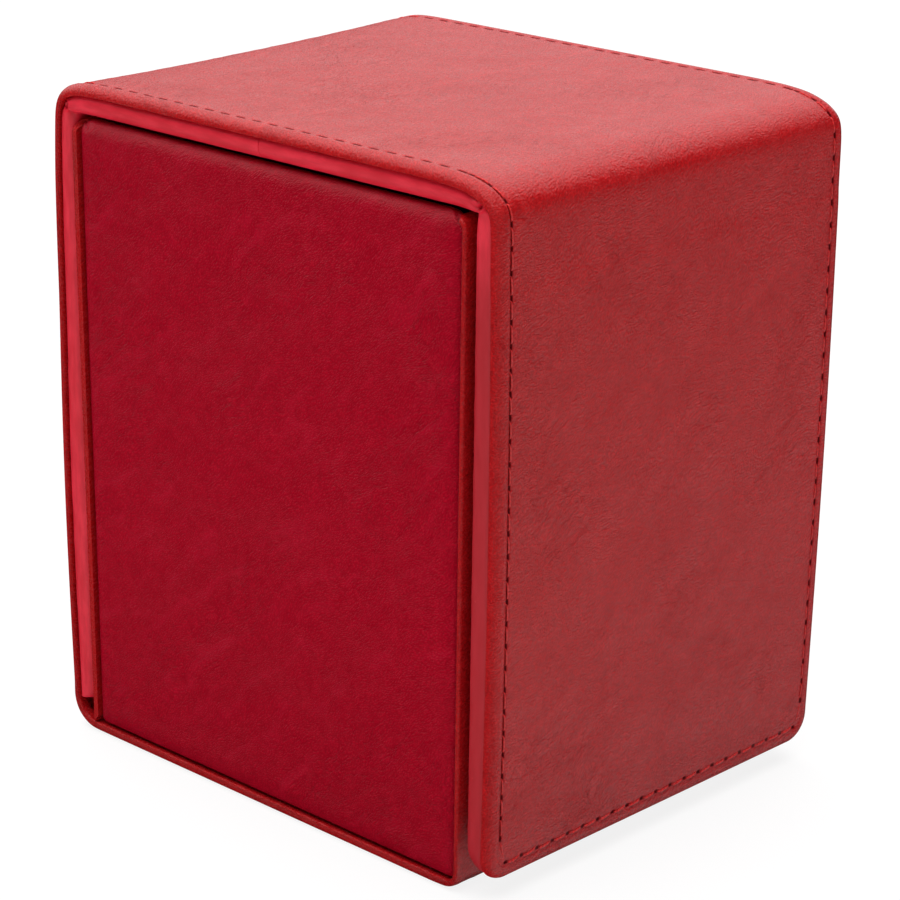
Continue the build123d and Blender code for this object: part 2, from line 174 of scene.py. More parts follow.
class N:
    """Small helper for shader node graphs."""

    def __init__(self, nt):
        self.nt = nt

    def __call__(self, kind, inputs=None, **props):
        n = self.nt.nodes.new(kind)
        for k, v in props.items():
            setattr(n, k, v)
        for k, v in (inputs or {}).items():
            if hasattr(v, "node"):
                self.nt.links.new(v, n.inputs[k])
            else:
                n.inputs[k].default_value = v
        return n

    def math(self, op, a, b=0.0, c=0.0, clamp=False):
        n = self.nt.nodes.new("ShaderNodeMath")
        n.operation, n.use_clamp = op, clamp
        for i, v in enumerate((a, b, c)):
            if hasattr(v, "node"):
                self.nt.links.new(v, n.inputs[i])
            else:
                n.inputs[i].default_value = v
        return n.outputs[0]

    def map(self, v, a, b, c=0.0, d=1.0, smooth=True):
        n = self.nt.nodes.new("ShaderNodeMapRange")
        n.interpolation_type = "SMOOTHSTEP" if smooth else "LINEAR"
        self.nt.links.new(v, n.inputs["Value"])
        for k, x in (("From Min", a), ("From Max", b), ("To Min", c), ("To Max", d)):
            n.inputs[k].default_value = x
        return n.outputs["Result"]

    def noise(self, vec, scale, detail=2.0, rough=0.5, dist=0.0):
        n = self.nt.nodes.new("ShaderNodeTexNoise")
        self.nt.links.new(vec, n.inputs["Vector"])
        n.inputs["Scale"].default_value = scale
        n.inputs["Detail"].default_value = detail
        n.inputs["Roughness"].default_value = rough
        n.inputs["Distortion"].default_value = dist
        return n.outputs["Fac"]

    def voronoi(self, vec, scale, feature="F1", smooth=0.0):
        n = self.nt.nodes.new("ShaderNodeTexVoronoi")
        n.feature = feature
        self.nt.links.new(vec, n.inputs["Vector"])
        n.inputs["Scale"].default_value = scale
        if feature == "SMOOTH_F1":
            n.inputs["Smoothness"].default_value = smooth
        return n.outputs["Distance"]

    def mix(self, fac, a, b, blend="MIX"):
        n = self.nt.nodes.new("ShaderNodeMix")
        n.data_type, n.blend_type = "RGBA", blend
        for sock, v in ((n.inputs[0], fac), (n.inputs[6], a), (n.inputs[7], b)):
            if hasattr(v, "node"):
                self.nt.links.new(v, sock)
            else:
                sock.default_value = v if not isinstance(v, tuple) or len(v) == 4 else (*v, 1.0)
        return n.outputs[2]

    def bump(self, height, strength, distance, normal=None):
        n = self.nt.nodes.new("ShaderNodeBump")
        n.inputs["Strength"].default_value = strength
        n.inputs["Distance"].default_value = distance
        self.nt.links.new(height, n.inputs["Height"])
        if normal is not None:
            self.nt.links.new(normal, n.inputs["Normal"])
        return n.outputs["Normal"]


def leather(name, base, dark, rough, spec, grain=1.0, aniso=(1.0, 1.0), angle=26.0, seams=True, bump=1.0,
            crease=1.0, sheen=0.0, glint_streak_paint=0.12):
    """Embossed synthetic leather on the sheet's own unrolled coordinates (mm): directional pebble, fine pores,
    wandering creases, slow colour drift, painted shade in grain valleys, creases and needle holes, painted glint
    streaks, convex edges lightened by rub wear and a painted highlight."""
    m, nt, bsdf, out = nodes_of(name)
    n = N(nt)
    leaf = n("ShaderNodeAttribute", attribute_name="leaf").outputs["Vector"]
    sep = n("ShaderNodeSeparateXYZ", {"Vector": leaf})
    # wandering grain: the coordinates are bent by slow noise before they are turned and stretched
    slow = n("ShaderNodeTexNoise", {"Vector": leaf, "Scale": 0.06, "Detail": 2.0})
    off = n("ShaderNodeVectorMath", {0: slow.outputs["Color"], 1: (0.5, 0.5, 0.5)}, operation="SUBTRACT")
    off = n("ShaderNodeVectorMath", {0: off.outputs[0], "Scale": 7.0}, operation="SCALE")
    bent = n("ShaderNodeVectorMath", {0: leaf, 1: off.outputs[0]}, operation="ADD").outputs[0]
    turned = n("ShaderNodeMapping", {"Vector": bent, "Rotation": (0, 0, math.radians(-angle))}).outputs[0]
    str1 = n("ShaderNodeMapping", {"Vector": turned, "Scale": (aniso[0], aniso[1], 1.0)}).outputs[0]
    pebble = n.voronoi(str1, 1.55 * grain, "SMOOTH_F1", 0.35)
    streak = n.noise(str1, 1.15 * grain, 3.0, 0.62, 0.4)
    pores = n.noise(bent, 4.6 * grain, 2.0, 0.6)
    str2 = n("ShaderNodeMapping", {"Vector": turned, "Scale": (0.10, 0.36, 1.0)}).outputs[0]
    cr = n.noise(str2, 1.0, 3.0, 0.55, 1.2)
    cr = n.math("ABSOLUTE", n.math("SUBTRACT", cr, 0.5))
    crease_line = n.map(cr, 0.0, 0.022, 1.0, 0.0)
    where = n.map(n.noise(leaf, 0.045, 1.0), 0.46, 0.62)
    crease_line = n.math("MULTIPLY", crease_line, where)
    drift = n.noise(leaf, 0.035, 2.0, 0.6)
    mottle = n.noise(leaf, 0.45, 3.0, 0.6)
    height = n.math("MULTIPLY", pebble, -1.1)
    height = n.math("MULTIPLY_ADD", streak, 1.25, height)
    height = n.math("MULTIPLY_ADD", pores, 0.60, height)
    height = n.math("MULTIPLY_ADD", crease_line, -0.55 * crease, height)
    # colour: grain tone, darker in the valleys and lighter on the ridges, partly painted shade in the valleys
    col = n.mix(n.map(streak, 0.30, 0.66, 0.0, 1.0), (*dark, 1), (*base, 1))
    lo = tuple(c * 0.90 for c in base)
    hi = tuple(min(1, c * 1.07 + 0.002) for c in base)
    col2 = n.mix(n.map(mottle, 0.35, 0.65), (*lo, 1), (*hi, 1))
    col = n.mix(0.62, col, col2)
    col = n.mix(n.map(drift, 0.35, 0.65, 0.0, 0.16), col, (*dark, 1))
    # painted shade: the pebble's valleys are darkened
    col = n.mix(n.map(pebble, 0.22, 0.62, 0.0, 0.48), col, (*tuple(c * 0.62 for c in dark), 1))
    # painted highlight: light pinkish streaks along the grain stand in for glints off its ridges
    glint_streaks = n.noise(n("ShaderNodeMapping", {"Vector": turned, "Scale": (0.045, 0.42, 1.0)}).outputs[0], 1.0, 2.0, 0.5)
    col = n.mix(n.map(glint_streaks, 0.52, 0.72, 0.0, glint_streak_paint), col, (min(1, base[0] * 1.22), base[1] * 2.2 + 0.004,
                                                       base[2] * 1.8 + 0.004, 1))
    # painted shade: the creases are darkened
    col = n.mix(n.math("MULTIPLY", crease_line, 0.30 * crease), col, (*tuple(c * 0.55 for c in dark), 1))
    # convex edges lightened: rub wear and a painted highlight
    geo = n("ShaderNodeNewGeometry")
    rub_and_edge_glint = n.map(geo.outputs["Pointiness"], 0.515, 0.58, 0.0, 0.30)
    col = n.mix(rub_and_edge_glint, col, (min(1, base[0] * 1.14), base[1] * 1.3 + 0.001, base[2] * 1.2 + 0.001, 1))
    if seams:
        pit = n("ShaderNodeAttribute", attribute_name="pit").outputs["Fac"]
        X, Y, D = sep.outputs
        ax = n.math("ABSOLUTE", X)
        dx = n.math("ABSOLUTE", n.math("SUBTRACT", ax, HX - SEAM))
        ph = n.math("DIVIDE", n.math("SUBTRACT", Y, 5.5), PITCH)
        ds = n.math("MULTIPLY", n.math("ABSOLUTE", n.math("SUBTRACT", ph, n.math("ROUND", ph))), PITCH)
        gate = n.math("MULTIPLY", n.map(Y, 6.7, 7.0), n.map(Y, S_BASE - 0.9, S_BASE - 1.3))
        gate = n.math("MULTIPLY", gate, n.map(D, 2.2, 1.8))
        on_lid = n.math("MULTIPLY", n.map(Y, S_FB1 - 3.2, S_FB1 - 2.8), n.map(Y, S_RB0 + 3.2, S_RB0 + 2.8))
        dash = n.map(ds, 1.00, 0.72)
        slot = n.math("MULTIPLY_ADD", n.map(ds, 1.20, 1.42), 0.45, 0.55)
        run = n("ShaderNodeMix", {0: on_lid, 2: slot, 3: dash}, data_type="FLOAT").outputs[0]
        slit = n.math("MULTIPLY", n.map(dx, 0.33, 0.15), run)
        slit = n.math("MULTIPLY", slit, gate)
        px = n.math("DIVIDE", X, PITCH)
        fx = n.math("MULTIPLY", n.math("ABSOLUTE", n.math("SUBTRACT", px, n.math("ROUND", px))), PITCH)
        fy = n.math("ABSOLUTE", n.math("SUBTRACT", Y, FOOT))
        foot = n.math("MULTIPLY", n.map(fx, 0.44, 0.22), n.map(fy, 0.42, 0.22))
        foot = n.math("MULTIPLY", foot, n.map(ax, 34.7, 34.4))
        foot = n.math("MULTIPLY", foot, n.map(D, 2.2, 1.8))
        pit = n.math("MAXIMUM", pit, n.math("MAXIMUM", slit, foot))
        # painted shade: needle holes, stitch slits and foot-row holes darkened nearly to black
        col = n.mix(n.map(pit, 0.10, 0.80, 0.0, 0.86), col, (0.045, 0.0015, 0.003, 1))
    nt.links.new(col, bsdf.inputs["Base Color"])
    r = n.math("MULTIPLY_ADD", n.map(streak, 0.3, 0.7, 0.0, 1.0), -0.10, rough + 0.05)
    r = n.math("MULTIPLY_ADD", mottle, 0.10, r)
    nt.links.new(r, bsdf.inputs["Roughness"])
    if sheen:
        bsdf.inputs["Sheen Weight"].default_value = sheen
        bsdf.inputs["Sheen Roughness"].default_value = 0.4
    big = n.bump(n.noise(leaf, 0.22, 2.0), 0.35, 0.00016)
    nb = n.bump(height, 1.0, 0.000068 * bump, big)
    nt.links.new(nb, bsdf.inputs["Normal"])
    # the finish is matt to the sides and takes a sheen where it faces the light or the front
    FX, FY, FZ = n("ShaderNodeSeparateXYZ", {"Vector": nb}).outputs
    if seams:
        face = n.math("MAXIMUM", n.map(FZ, 0.05, 0.55), n.map(n.math("ABSOLUTE", FY), 0.30, 0.75, 0.0, 0.68))
        face = n.math("MULTIPLY_ADD", face, 0.96, 0.04)
        s = n.math("MULTIPLY", face, n.map(pit, 0.1, 0.6, spec, spec * 0.1))
    else:
        s = n.map(FZ, 0.09, 0.42, spec * 0.02, spec * 1.5)
    nt.links.new(s, bsdf.inputs["Specular IOR Level"])
    return m


cover_mat = leather("cover_leather_finish", (0.505, 0.0088, 0.0112), (0.380, 0.0040, 0.0070), 0.22, 0.50,
                    grain=1.75, aniso=(0.72, 1.40), angle=26, bump=1.0)
plate_mat = leather("plate_leather_finish", (0.420, 0.0020, 0.0172), (0.315, 0.0012, 0.0108), 0.27, 0.32,
                    grain=1.75, aniso=(0.75, 1.5), angle=-40, seams=False, bump=1.1, crease=0.8, glint_streak_paint=0.22)


def lining_finish():
    """Smooth coated lining: satin, faint drag marks along the strip, tiny dust and pull spots."""
    m, nt, bsdf, out = nodes_of("edge_lining_finish")
    n = N(nt)
    leaf = n("ShaderNodeAttribute", attribute_name="leaf").outputs["Vector"]
    long = n("ShaderNodeMapping", {"Vector": leaf, "Scale": (1.0, 0.18, 1.0)}).outputs[0]
    drag = n.noise(long, 1.1, 3.0, 0.6)
    fine = n.noise(leaf, 5.5, 2.0, 0.6)
    slow = n.noise(leaf, 0.06, 2.0)
    spots = n.map(n.voronoi(leaf, 0.35), 0.02, 0.075, 1.0, 0.0)
    col = n.mix(n.map(drag, 0.3, 0.7), (0.64, 0.0110, 0.0300, 1), (0.82, 0.0220, 0.0500, 1))
    col = n.mix(n.map(slow, 0.35, 0.65, 0.0, 0.35), col, (0.56, 0.0095, 0.0180, 1))
    # painted shade: the flap's lining strip turns deeper, duller red towards its foot
    along = n("ShaderNodeSeparateXYZ", {"Vector": leaf}).outputs["Y"]
    col = n.mix(n.map(along, S_FB0 + 6, S_FB0 - 10, 0.0, 0.72), col, (0.36, 0.0080, 0.0130, 1))
    col = n.mix(n.math("MULTIPLY", spots, 0.35), col, (0.72, 0.09, 0.09, 1))
    nt.links.new(col, bsdf.inputs["Base Color"])
    nt.links.new(n.math("MULTIPLY_ADD", drag, 0.14, 0.28), bsdf.inputs["Roughness"])
    bsdf.inputs["Specular IOR Level"].default_value = 0.34
    h = n.math("MULTIPLY_ADD", fine, 0.3, drag)
    h = n.math("MULTIPLY_ADD", spots, 0.5, h)
    nt.links.new(n.bump(h, 0.5, 0.00003), bsdf.inputs["Normal"])
    return m


def thread_finish():
    m, nt, bsdf, out = nodes_of("thread_finish")
    n = N(nt)
    leaf = n("ShaderNodeAttribute", attribute_name="leaf").outputs["Vector"]
    # leaf.x runs along the thread, leaf.y round it: plies twist
    sep = n("ShaderNodeSeparateXYZ", {"Vector": leaf})
    tw = n.math("SINE", n.math("MULTIPLY_ADD", sep.outputs["X"], 9.0, n.math("MULTIPLY", sep.outputs["Y"], 2.0)))
    fib = n.noise(leaf, 7.0, 2.0, 0.6)
    col = n.mix(n.map(tw, -0.6, 0.8), (0.46, 0.008, 0.010, 1), (0.66, 0.016, 0.018, 1))
    col = n.mix(n.map(fib, 0.4, 0.7, 0.0, 0.3), col, (0.82, 0.09, 0.08, 1))
    nt.links.new(col, bsdf.inputs["Base Color"])
    bsdf.inputs["Roughness"].default_value = 0.48
    nt.links.new(n.bump(n.math("MULTIPLY_ADD", fib, 0.4, tw), 0.5, 0.00002), bsdf.inputs["Normal"])
    return m


def microfibre_finish():
    m, nt, bsdf, out = nodes_of("microfibre_finish")
    n = N(nt)
    co = n("ShaderNodeAttribute", attribute_name="leaf").outputs["Vector"]
    pile = n.noise(co, 5.0, 3.0, 0.7)
    brush = n.noise(n("ShaderNodeMapping", {"Vector": co, "Scale": (0.05, 0.16, 0.05)}).outputs[0], 1.0, 3.0, 0.6, 0.8)
    col = n.mix(n.map(pile, 0.3, 0.7), (0.008, 0.008, 0.009, 1), (0.030, 0.029, 0.031, 1))
    col = n.mix(n.map(brush, 0.4, 0.6, 0.0, 0.5), col, (0.042, 0.040, 0.042, 1))
    nt.links.new(col, bsdf.inputs["Base Color"])
    bsdf.inputs["Roughness"].default_value = 0.95
    bsdf.inputs["Specular IOR Level"].default_value = 0.1
    bsdf.inputs["Sheen Weight"].default_value = 0.10
    bsdf.inputs["Sheen Roughness"].default_value = 0.45
    nt.links.new(n.bump(pile, 0.9, 0.00012), bsdf.inputs["Normal"])
    return m


def board_finish():
    m, nt, bsdf, out = nodes_of("greyboard_finish")
    n = N(nt)
    co = n("ShaderNodeTexCoord").outputs["Object"]
    fibre = n.noise(n("ShaderNodeMapping", {"Vector": co, "Scale": (900, 2600, 2600)}).outputs[0], 1.0, 4.0, 0.65, 0.6)
    fleck = n.map(n.voronoi(co, 900), 0.02, 0.12, 1.0, 0.0)
    col = n.mix(n.map(fibre, 0.3, 0.7), (0.20, 0.185, 0.165, 1), (0.34, 0.32, 0.29, 1))
    col = n.mix(n.math("MULTIPLY", fleck, 0.5), col, (0.09, 0.08, 0.07, 1))
    # the boards' upper edges are stained with the leather's red where they are wrapped
    pz = n("ShaderNodeSeparateXYZ", {"Vector": n("ShaderNodeNewGeometry").outputs["Position"]}).outputs["Z"]
    col = n.mix(n.map(pz, 0.0985, 0.0995, 0.0, 0.94), col, (0.20, 0.004, 0.007, 1))
    nt.links.new(col, bsdf.inputs["Base Color"])
    bsdf.inputs["Roughness"].default_value = 0.9
    nt.links.new(n.bump(fibre, 0.6, 0.0001), bsdf.inputs["Normal"])
    return m


def magnet_finish():
    m, nt, bsdf, out = nodes_of("magnet_finish")
    n = N(nt)
    co = n("ShaderNodeTexCoord").outputs["Object"]
    turn = n.noise(n("ShaderNodeMapping", {"Vector": co, "Scale": (4000, 300, 4000)}).outputs[0], 1.0, 3.0, 0.6)
    col = n.mix(n.map(turn, 0.3, 0.7), (0.50, 0.49, 0.47, 1), (0.66, 0.65, 0.63, 1))
    nt.links.new(col, bsdf.inputs["Base Color"])
    bsdf.inputs["Metallic"].default_value = 1.0
    nt.links.new(n.math("MULTIPLY_ADD", turn, 0.2, 0.16), bsdf.inputs["Roughness"])
    nt.links.new(n.bump(turn, 0.3, 0.00002), bsdf.inputs["Normal"])
    return m


lining_mat, thread_mat, micro_mat = lining_finish(), thread_finish(), microfibre_finish()
board_mat, magnet_mat = board_finish(), magnet_finish()


# ---------------------------------------------------------------- mesh build
def build(name, verts, faces, leaf, mat, pit=None, sharp=50, weld=2e-6):
    """Closed mesh from mm arrays; welds coincident points and turns the faces outward."""
    me = bpy.data.meshes.new(name)
    me.from_pydata((np.asarray(verts) * 0.001).tolist(), [], [tuple(f) for f in faces])
    a = me.attributes.new("leaf", "FLOAT_VECTOR", "POINT")
    a.data.foreach_set("vector", np.asarray(leaf, np.float32).ravel())
    if pit is not None:
        b = me.attributes.new("pit", "FLOAT", "POINT")
        b.data.foreach_set("value", np.asarray(pit, np.float32).ravel())
    bm = bmesh.new()
    bm.from_mesh(me)
    bmesh.ops.remove_doubles(bm, verts=bm.verts, dist=weld)
    bmesh.ops.dissolve_degenerate(bm, edges=bm.edges, dist=1e-7)
    loose = [v for v in bm.verts if not v.link_faces]
    if loose:
        bmesh.ops.delete(bm, geom=loose, context="VERTS")
    bmesh.ops.recalc_face_normals(bm, faces=bm.faces)
    bm.to_mesh(me)
    bm.free()
    me.polygons.foreach_set("use_smooth", [True] * len(me.polygons))
    me.set_sharp_from_angle(angle=math.radians(sharp))
    ob = bpy.data.objects.new(name, me)
    bpy.context.scene.collection.objects.link(ob)
    me.materials.append(mat)
    return ob


def ring_faces(rows, cols, cap0=True, cap1=True):
    """Quads between closed rings, and a fan-free cap made of cross strips at each end."""
    i = np.arange(rows - 1)[:, None] * cols
    j = np.arange(cols)[None, :]
    k = (j + 1) % cols
    f = np.stack([i + j, i + k, i + cols + k, i + cols + j], -1).reshape(-1, 4).tolist()
    half = cols // 2
    for cap, base in ((cap0, 0), (cap1, (rows - 1) * cols)):
        if cap:
            for a in range(half - 1):
                f.append([base + a, base + a + 1, base + cols - 2 - a, base + cols - 1 - a])
    return f


def across(W, edge):
    """Column positions as distances from the edge on one side, mirrored to the other, for half width W."""
    d = np.array(edge)
    mid = np.arange(W - d[-1] - 0.85 * 0.5, 0, -0.85)
    x = np.r_[-(W - d), -mid[::1], mid[::-1], (W - d)[::-1]]
    return x


EDGE = [0, 0.03, 0.11, 0.24, 0.40, 0.60, 0.82, 1.05, 1.3, 1.55, 1.8, 2.05, 2.22, 2.32, 2.42, 2.51, 2.6, 2.69, 2.78, 2.88,
        3.0, 3.3, 3.7, 4.2]


def cols(W=HX, step=0.85):
    d = np.array(EDGE)
    n = int(round((W - d[-1]) * 2 / step))
    inner = np.linspace(-(W - d[-1]), W - d[-1], n + 1)[1:-1]
    return np.r_[-(W - d), inner, (W - d)[::-1]]


def roll(d, r):
    """Depth of a rolled edge of radius r at distance d from the outline."""
    e = np.clip(r - np.clip(d, 0, None), 0, r)
    return r - np.sqrt(np.clip(r * r - e * e, 0, None))


def sdf_flap(x, s):
    """Distance inside the outline of the sheet whose s = 0 end has rounded corners."""
    qx, qs = np.abs(x) - (HX - CORNER), CORNER - s
    corner = (qx > 0) & (qs > 0)
    return np.where(corner, CORNER - np.hypot(qx, qs), np.minimum(HX - np.abs(x), s))


def rowset(a, b, step):
    return np.linspace(a, b, max(2, int(round((b - a) / step)) + 1))


holes_x = np.array([])


def stitch_pits(x, s, side_from, side_to, foot=False):
    """0..1 needle-hole field along the stitch rows, with the foot row's holes when foot is set."""
    ph = (s - 5.5) / PITCH
    ds = np.abs(ph - np.round(ph)) * PITCH
    dx = np.abs(x) - (HX - SEAM)
    on = (s > side_from) & (s < side_to)
    lid = (s > S_FB1 - 3) & (s < S_RB0 + 3)
    pit = np.exp(-(dx / 0.18) ** 2) * np.where(lid, 1 - sstep(0.62, 1.0, ds), 0.5 + 0.5 * sstep(1.2, 1.5, ds)) * on
    if foot:
        dfx = np.abs(x / PITCH - np.round(x / PITCH)) * PITCH
        m = np.exp(-(dfx / 0.36) ** 2 - ((s - FOOT) / 0.25) ** 2) * (np.abs(x) < 34.8)
        pit = np.maximum(pit, m)
    return pit


def cover_sheet(name, s_rows, flap_end, wall_end, body_blend):
    X0 = cols()
    nx = len(X0)
    S, X = np.meshgrid(s_rows, X0, indexing="ij")
    # outline
    W = np.full_like(S, HX)
    if flap_end:
        c = np.clip(CORNER - S, 0, CORNER)
        W = HX - CORNER + np.sqrt(np.clip(CORNER ** 2 - c ** 2, 0, None))
    top_h = None
    if wall_end:
        W = HX - 1.2 * sstep(S_RIM0 + 1.6, S_RIM0 + 3.4, S) - 2.6 * sstep(S_RIM1 - 2.2, S_RIM1 + 0.5, S)
    x = X * W / HX
    if flap_end:
        d = sdf_flap(x, S)
    else:
        d = W - np.abs(x)
    # soft unevenness of the sheet: stronger away from its edges
    soft = sstep(1.5, 8, d)
    lum = vnoise(x / 16 + 3, S / 19 + 7, 5, 2) * 0.085 * soft + vnoise(x / 5.5, S / 6.5, 9, 2) * 0.018 * sstep(2.6, 5, d)
    # short creases across the bends
    for s0, s1, k in ((S_FB0, S_FB1, 3), (S_RB0, S_RB1, 4)):
        zone = sstep(s0 + 2, s0 + 7, S) * (1 - sstep(s1 - 6, s1 - 1, S)) * sstep(2.7, 5, d)
        lum += zone * 0.042 * vnoise(x / 0.9 - S * 0.55, S / 4.5 + x / 9, 30 + k, 2)
    if flap_end:
        lum += 0.05 * np.exp(-((S - 1.0) / 3) ** 2) * vnoise(x / 3.2, S / 2, 41, 2) * sstep(0.6, 2, d)
    # the lid droops a little between its two stitched sides where it runs into the rear bend
    lum -= 0.52 * (1 - (x / HX) ** 2) * np.exp(-((S - S_RB0 - 4.0) / 13.0) ** 2)
    R = 1.50
    f_out = roll(d * 0.86, R)
    f_out -= 0.10 * np.exp(-((d - 1.75) / 0.45) ** 2)
    stitched_to = S_BASE - 1.0
    chan = np.where(S < stitched_to, 1.0, np.clip(1 - (S - stitched_to) / 2.0, 0, 1))
    if flap_end:
        chan = np.ones_like(S)
    f_out += 0.07 * chan * np.exp(-((d - SEAM) / 0.45) ** 2)
    f_out -= 0.05 * sstep(2.5, 4.5, d)
    pit = stitch_pits(x, S, 6.9 if flap_end else 0.0, stitched_to + 0.5, flap_end)
    f_out += 0.36 * pit
    # the sheet's soft unevenness, bend creases and lid droop
    f_out -= lum
    te = np.full_like(S, 1.66)
    inner = np.full_like(S, 0.95)
    if wall_end:
        te = 1.66 + 0.06 * sstep(S_MID + 30, S_RB1, S) - 0.20 * sstep(S_BASE, S_BASE + 5, S) \
            - 0.86 * sstep(S_TOE - 1, S_WALL, S)
        inner = 0.92 - 0.10 * sstep(S_TOE - 2, S_WALL, S)
        # the front wall: a smaller edge roll, and the overlap of the two leatherette layers
        wl = sstep(S_TOE - 3, S_WALL, S)
        r2 = roll(d, 0.45)
        f_out = f_out * (1 - wl) + (r2 - 0.16 * sstep(4.35, 4.75, HX - np.abs(x)) * (1 - sstep(S_RIM0 - 3, S_RIM0, S))
                                    - 0.4 * lum) * wl
        base = sstep(S_BASE - 1, S_BASE + 6, S) * (1 - wl)
        f_out = f_out * (1 - base) + (roll(d, 0.8) - 0.5 * lum) * base
    f_in = te * (1 - sstep(1.7, 2.3, d)) + inner * sstep(1.7, 2.3, d)
    f_in = f_in - 0.12 * (1 - sstep(0, 0.25, d))
    f_in = np.maximum(f_in, f_out + 0.0)
    if wall_end:
        f_in = np.where(S > S_RIM1 - 1, np.minimum(f_in, 0.5), f_in)
        f_in = np.maximum(f_in, f_out)
    Z = S.copy()
    to_rim = s_rows[-1] > S_RIM1
    if flap_end:
        f_in[0] = f_out[0]
    if to_rim:
        f_in[-1] = f_out[-1]
    Po, Pi = cover.at(Z, f_out), cover.at(Z, f_in)
    vo = np.concatenate([x[..., None], Po], -1)
    vi = np.concatenate([x[..., None], Pi], -1)
    if wall_end:
        # thumb notch: everything on the front wall above its curve is drawn down to the curve
        R0, zc = 15.15, RIM - 13.0 + 15.15
        dip = RIM - (zc - np.sqrt(np.clip(R0 ** 2 - x ** 2, 0, None)))
        dip = np.where(np.abs(x) < R0 * 0.99, np.clip(dip, 0, 13), 0)
        ax = np.abs(x)
        dip = np.where(ax < 16.5, dip, 0)
        # rounded shoulders
        dip = 12.35 * np.clip(1 - (ax / 15.1) ** 2, 0, 1) ** 0.5 * (1 - 0.06 * sstep(9, 15.1, ax))
        k = sstep(S_WALL + 62, S_RIM0, S)
        after = S > S_RIM0
        for v in (vo, vi):
            k2 = np.where(after, 1.0, k)
            # inner flange keeps a constant width below the curve
            v[..., 2] -= dip * k2
    rows = len(s_rows)
    ring = np.concatenate([vo, vi[:, ::-1]], 1)
    leaf_o = np.stack([x, S, f_out], -1)
    leaf_i = np.stack([x, S, f_in + 3], -1)
    leaf = np.concatenate([leaf_o, leaf_i[:, ::-1]], 1)
    pits = np.concatenate([pit, 0 * pit], 1)
    f = ring_faces(rows, 2 * nx, cap0=not flap_end, cap1=not to_rim)
    return build(name, ring.reshape(-1, 3), f, leaf.reshape(-1, 3), cover_mat, pits.reshape(-1))


flap_rows = np.unique(np.r_[CORNER * (1 - np.cos(np.radians(np.arange(0, 72, 6)))), np.arange(2.55, 3.5, 0.1)])
s_first = flap_rows[-1]
front_rows = np.r_[flap_rows[:-1], rowset(s_first, S_FB0, 0.425), rowset(S_FB0, S_FB1, 0.30)[1:],
                   rowset(S_FB1, S_MID, 0.425)[1:]]
# keep a row on every needle hole
def snap(rows, lo, hi):
    h = 5.5 + PITCH * (np.arange(-1, 200) + 0.5)
    rows = rows.copy()
    for t in h:
        if lo < t < hi:
            i = np.argmin(np.abs(rows - t))
            if 0 < i < len(rows) - 1:
                rows[i] = t
    return np.unique(rows)


front_rows = snap(front_rows, 4.6, S_MID - 1)
back_rows = np.r_[rowset(S_MID, S_RB0, 0.425), rowset(S_RB0, S_RB1, 0.35)[1:], rowset(S_RB1, S_BASE, 0.45)[1:],
                  rowset(S_BASE, S_BASE + 10, 0.5)[1:], rowset(S_BASE + 10, S_TOE - 3, 1.2)[1:],
                  rowset(S_TOE - 3, S_WALL, 0.3)[1:], rowset(S_WALL, S_RIM0 - 2, 1.0)[1:],
                  rowset(S_RIM0 - 2, S_RIM1 + 0.4, 0.28)[1:], rowset(S_RIM1 + 0.4, cover.L - 0.05, 0.5)[1:]]
back_rows = snap(back_rows, S_MID + 1, S_BASE)

front_cover = cover_sheet("front_cover_leather", front_rows, True, False, None)
# the sheet is cut under the box: the front wall never follows the lid
cut = int(np.argmin(np.abs(back_rows - (S_BASE + S_TOE) / 2)))
rear_cover = cover_sheet("rear_cover_leather", back_rows[:cut + 1], False, True, None)
front_wall = cover_sheet("front_wall_leather", back_rows[cut:], False, True, None)


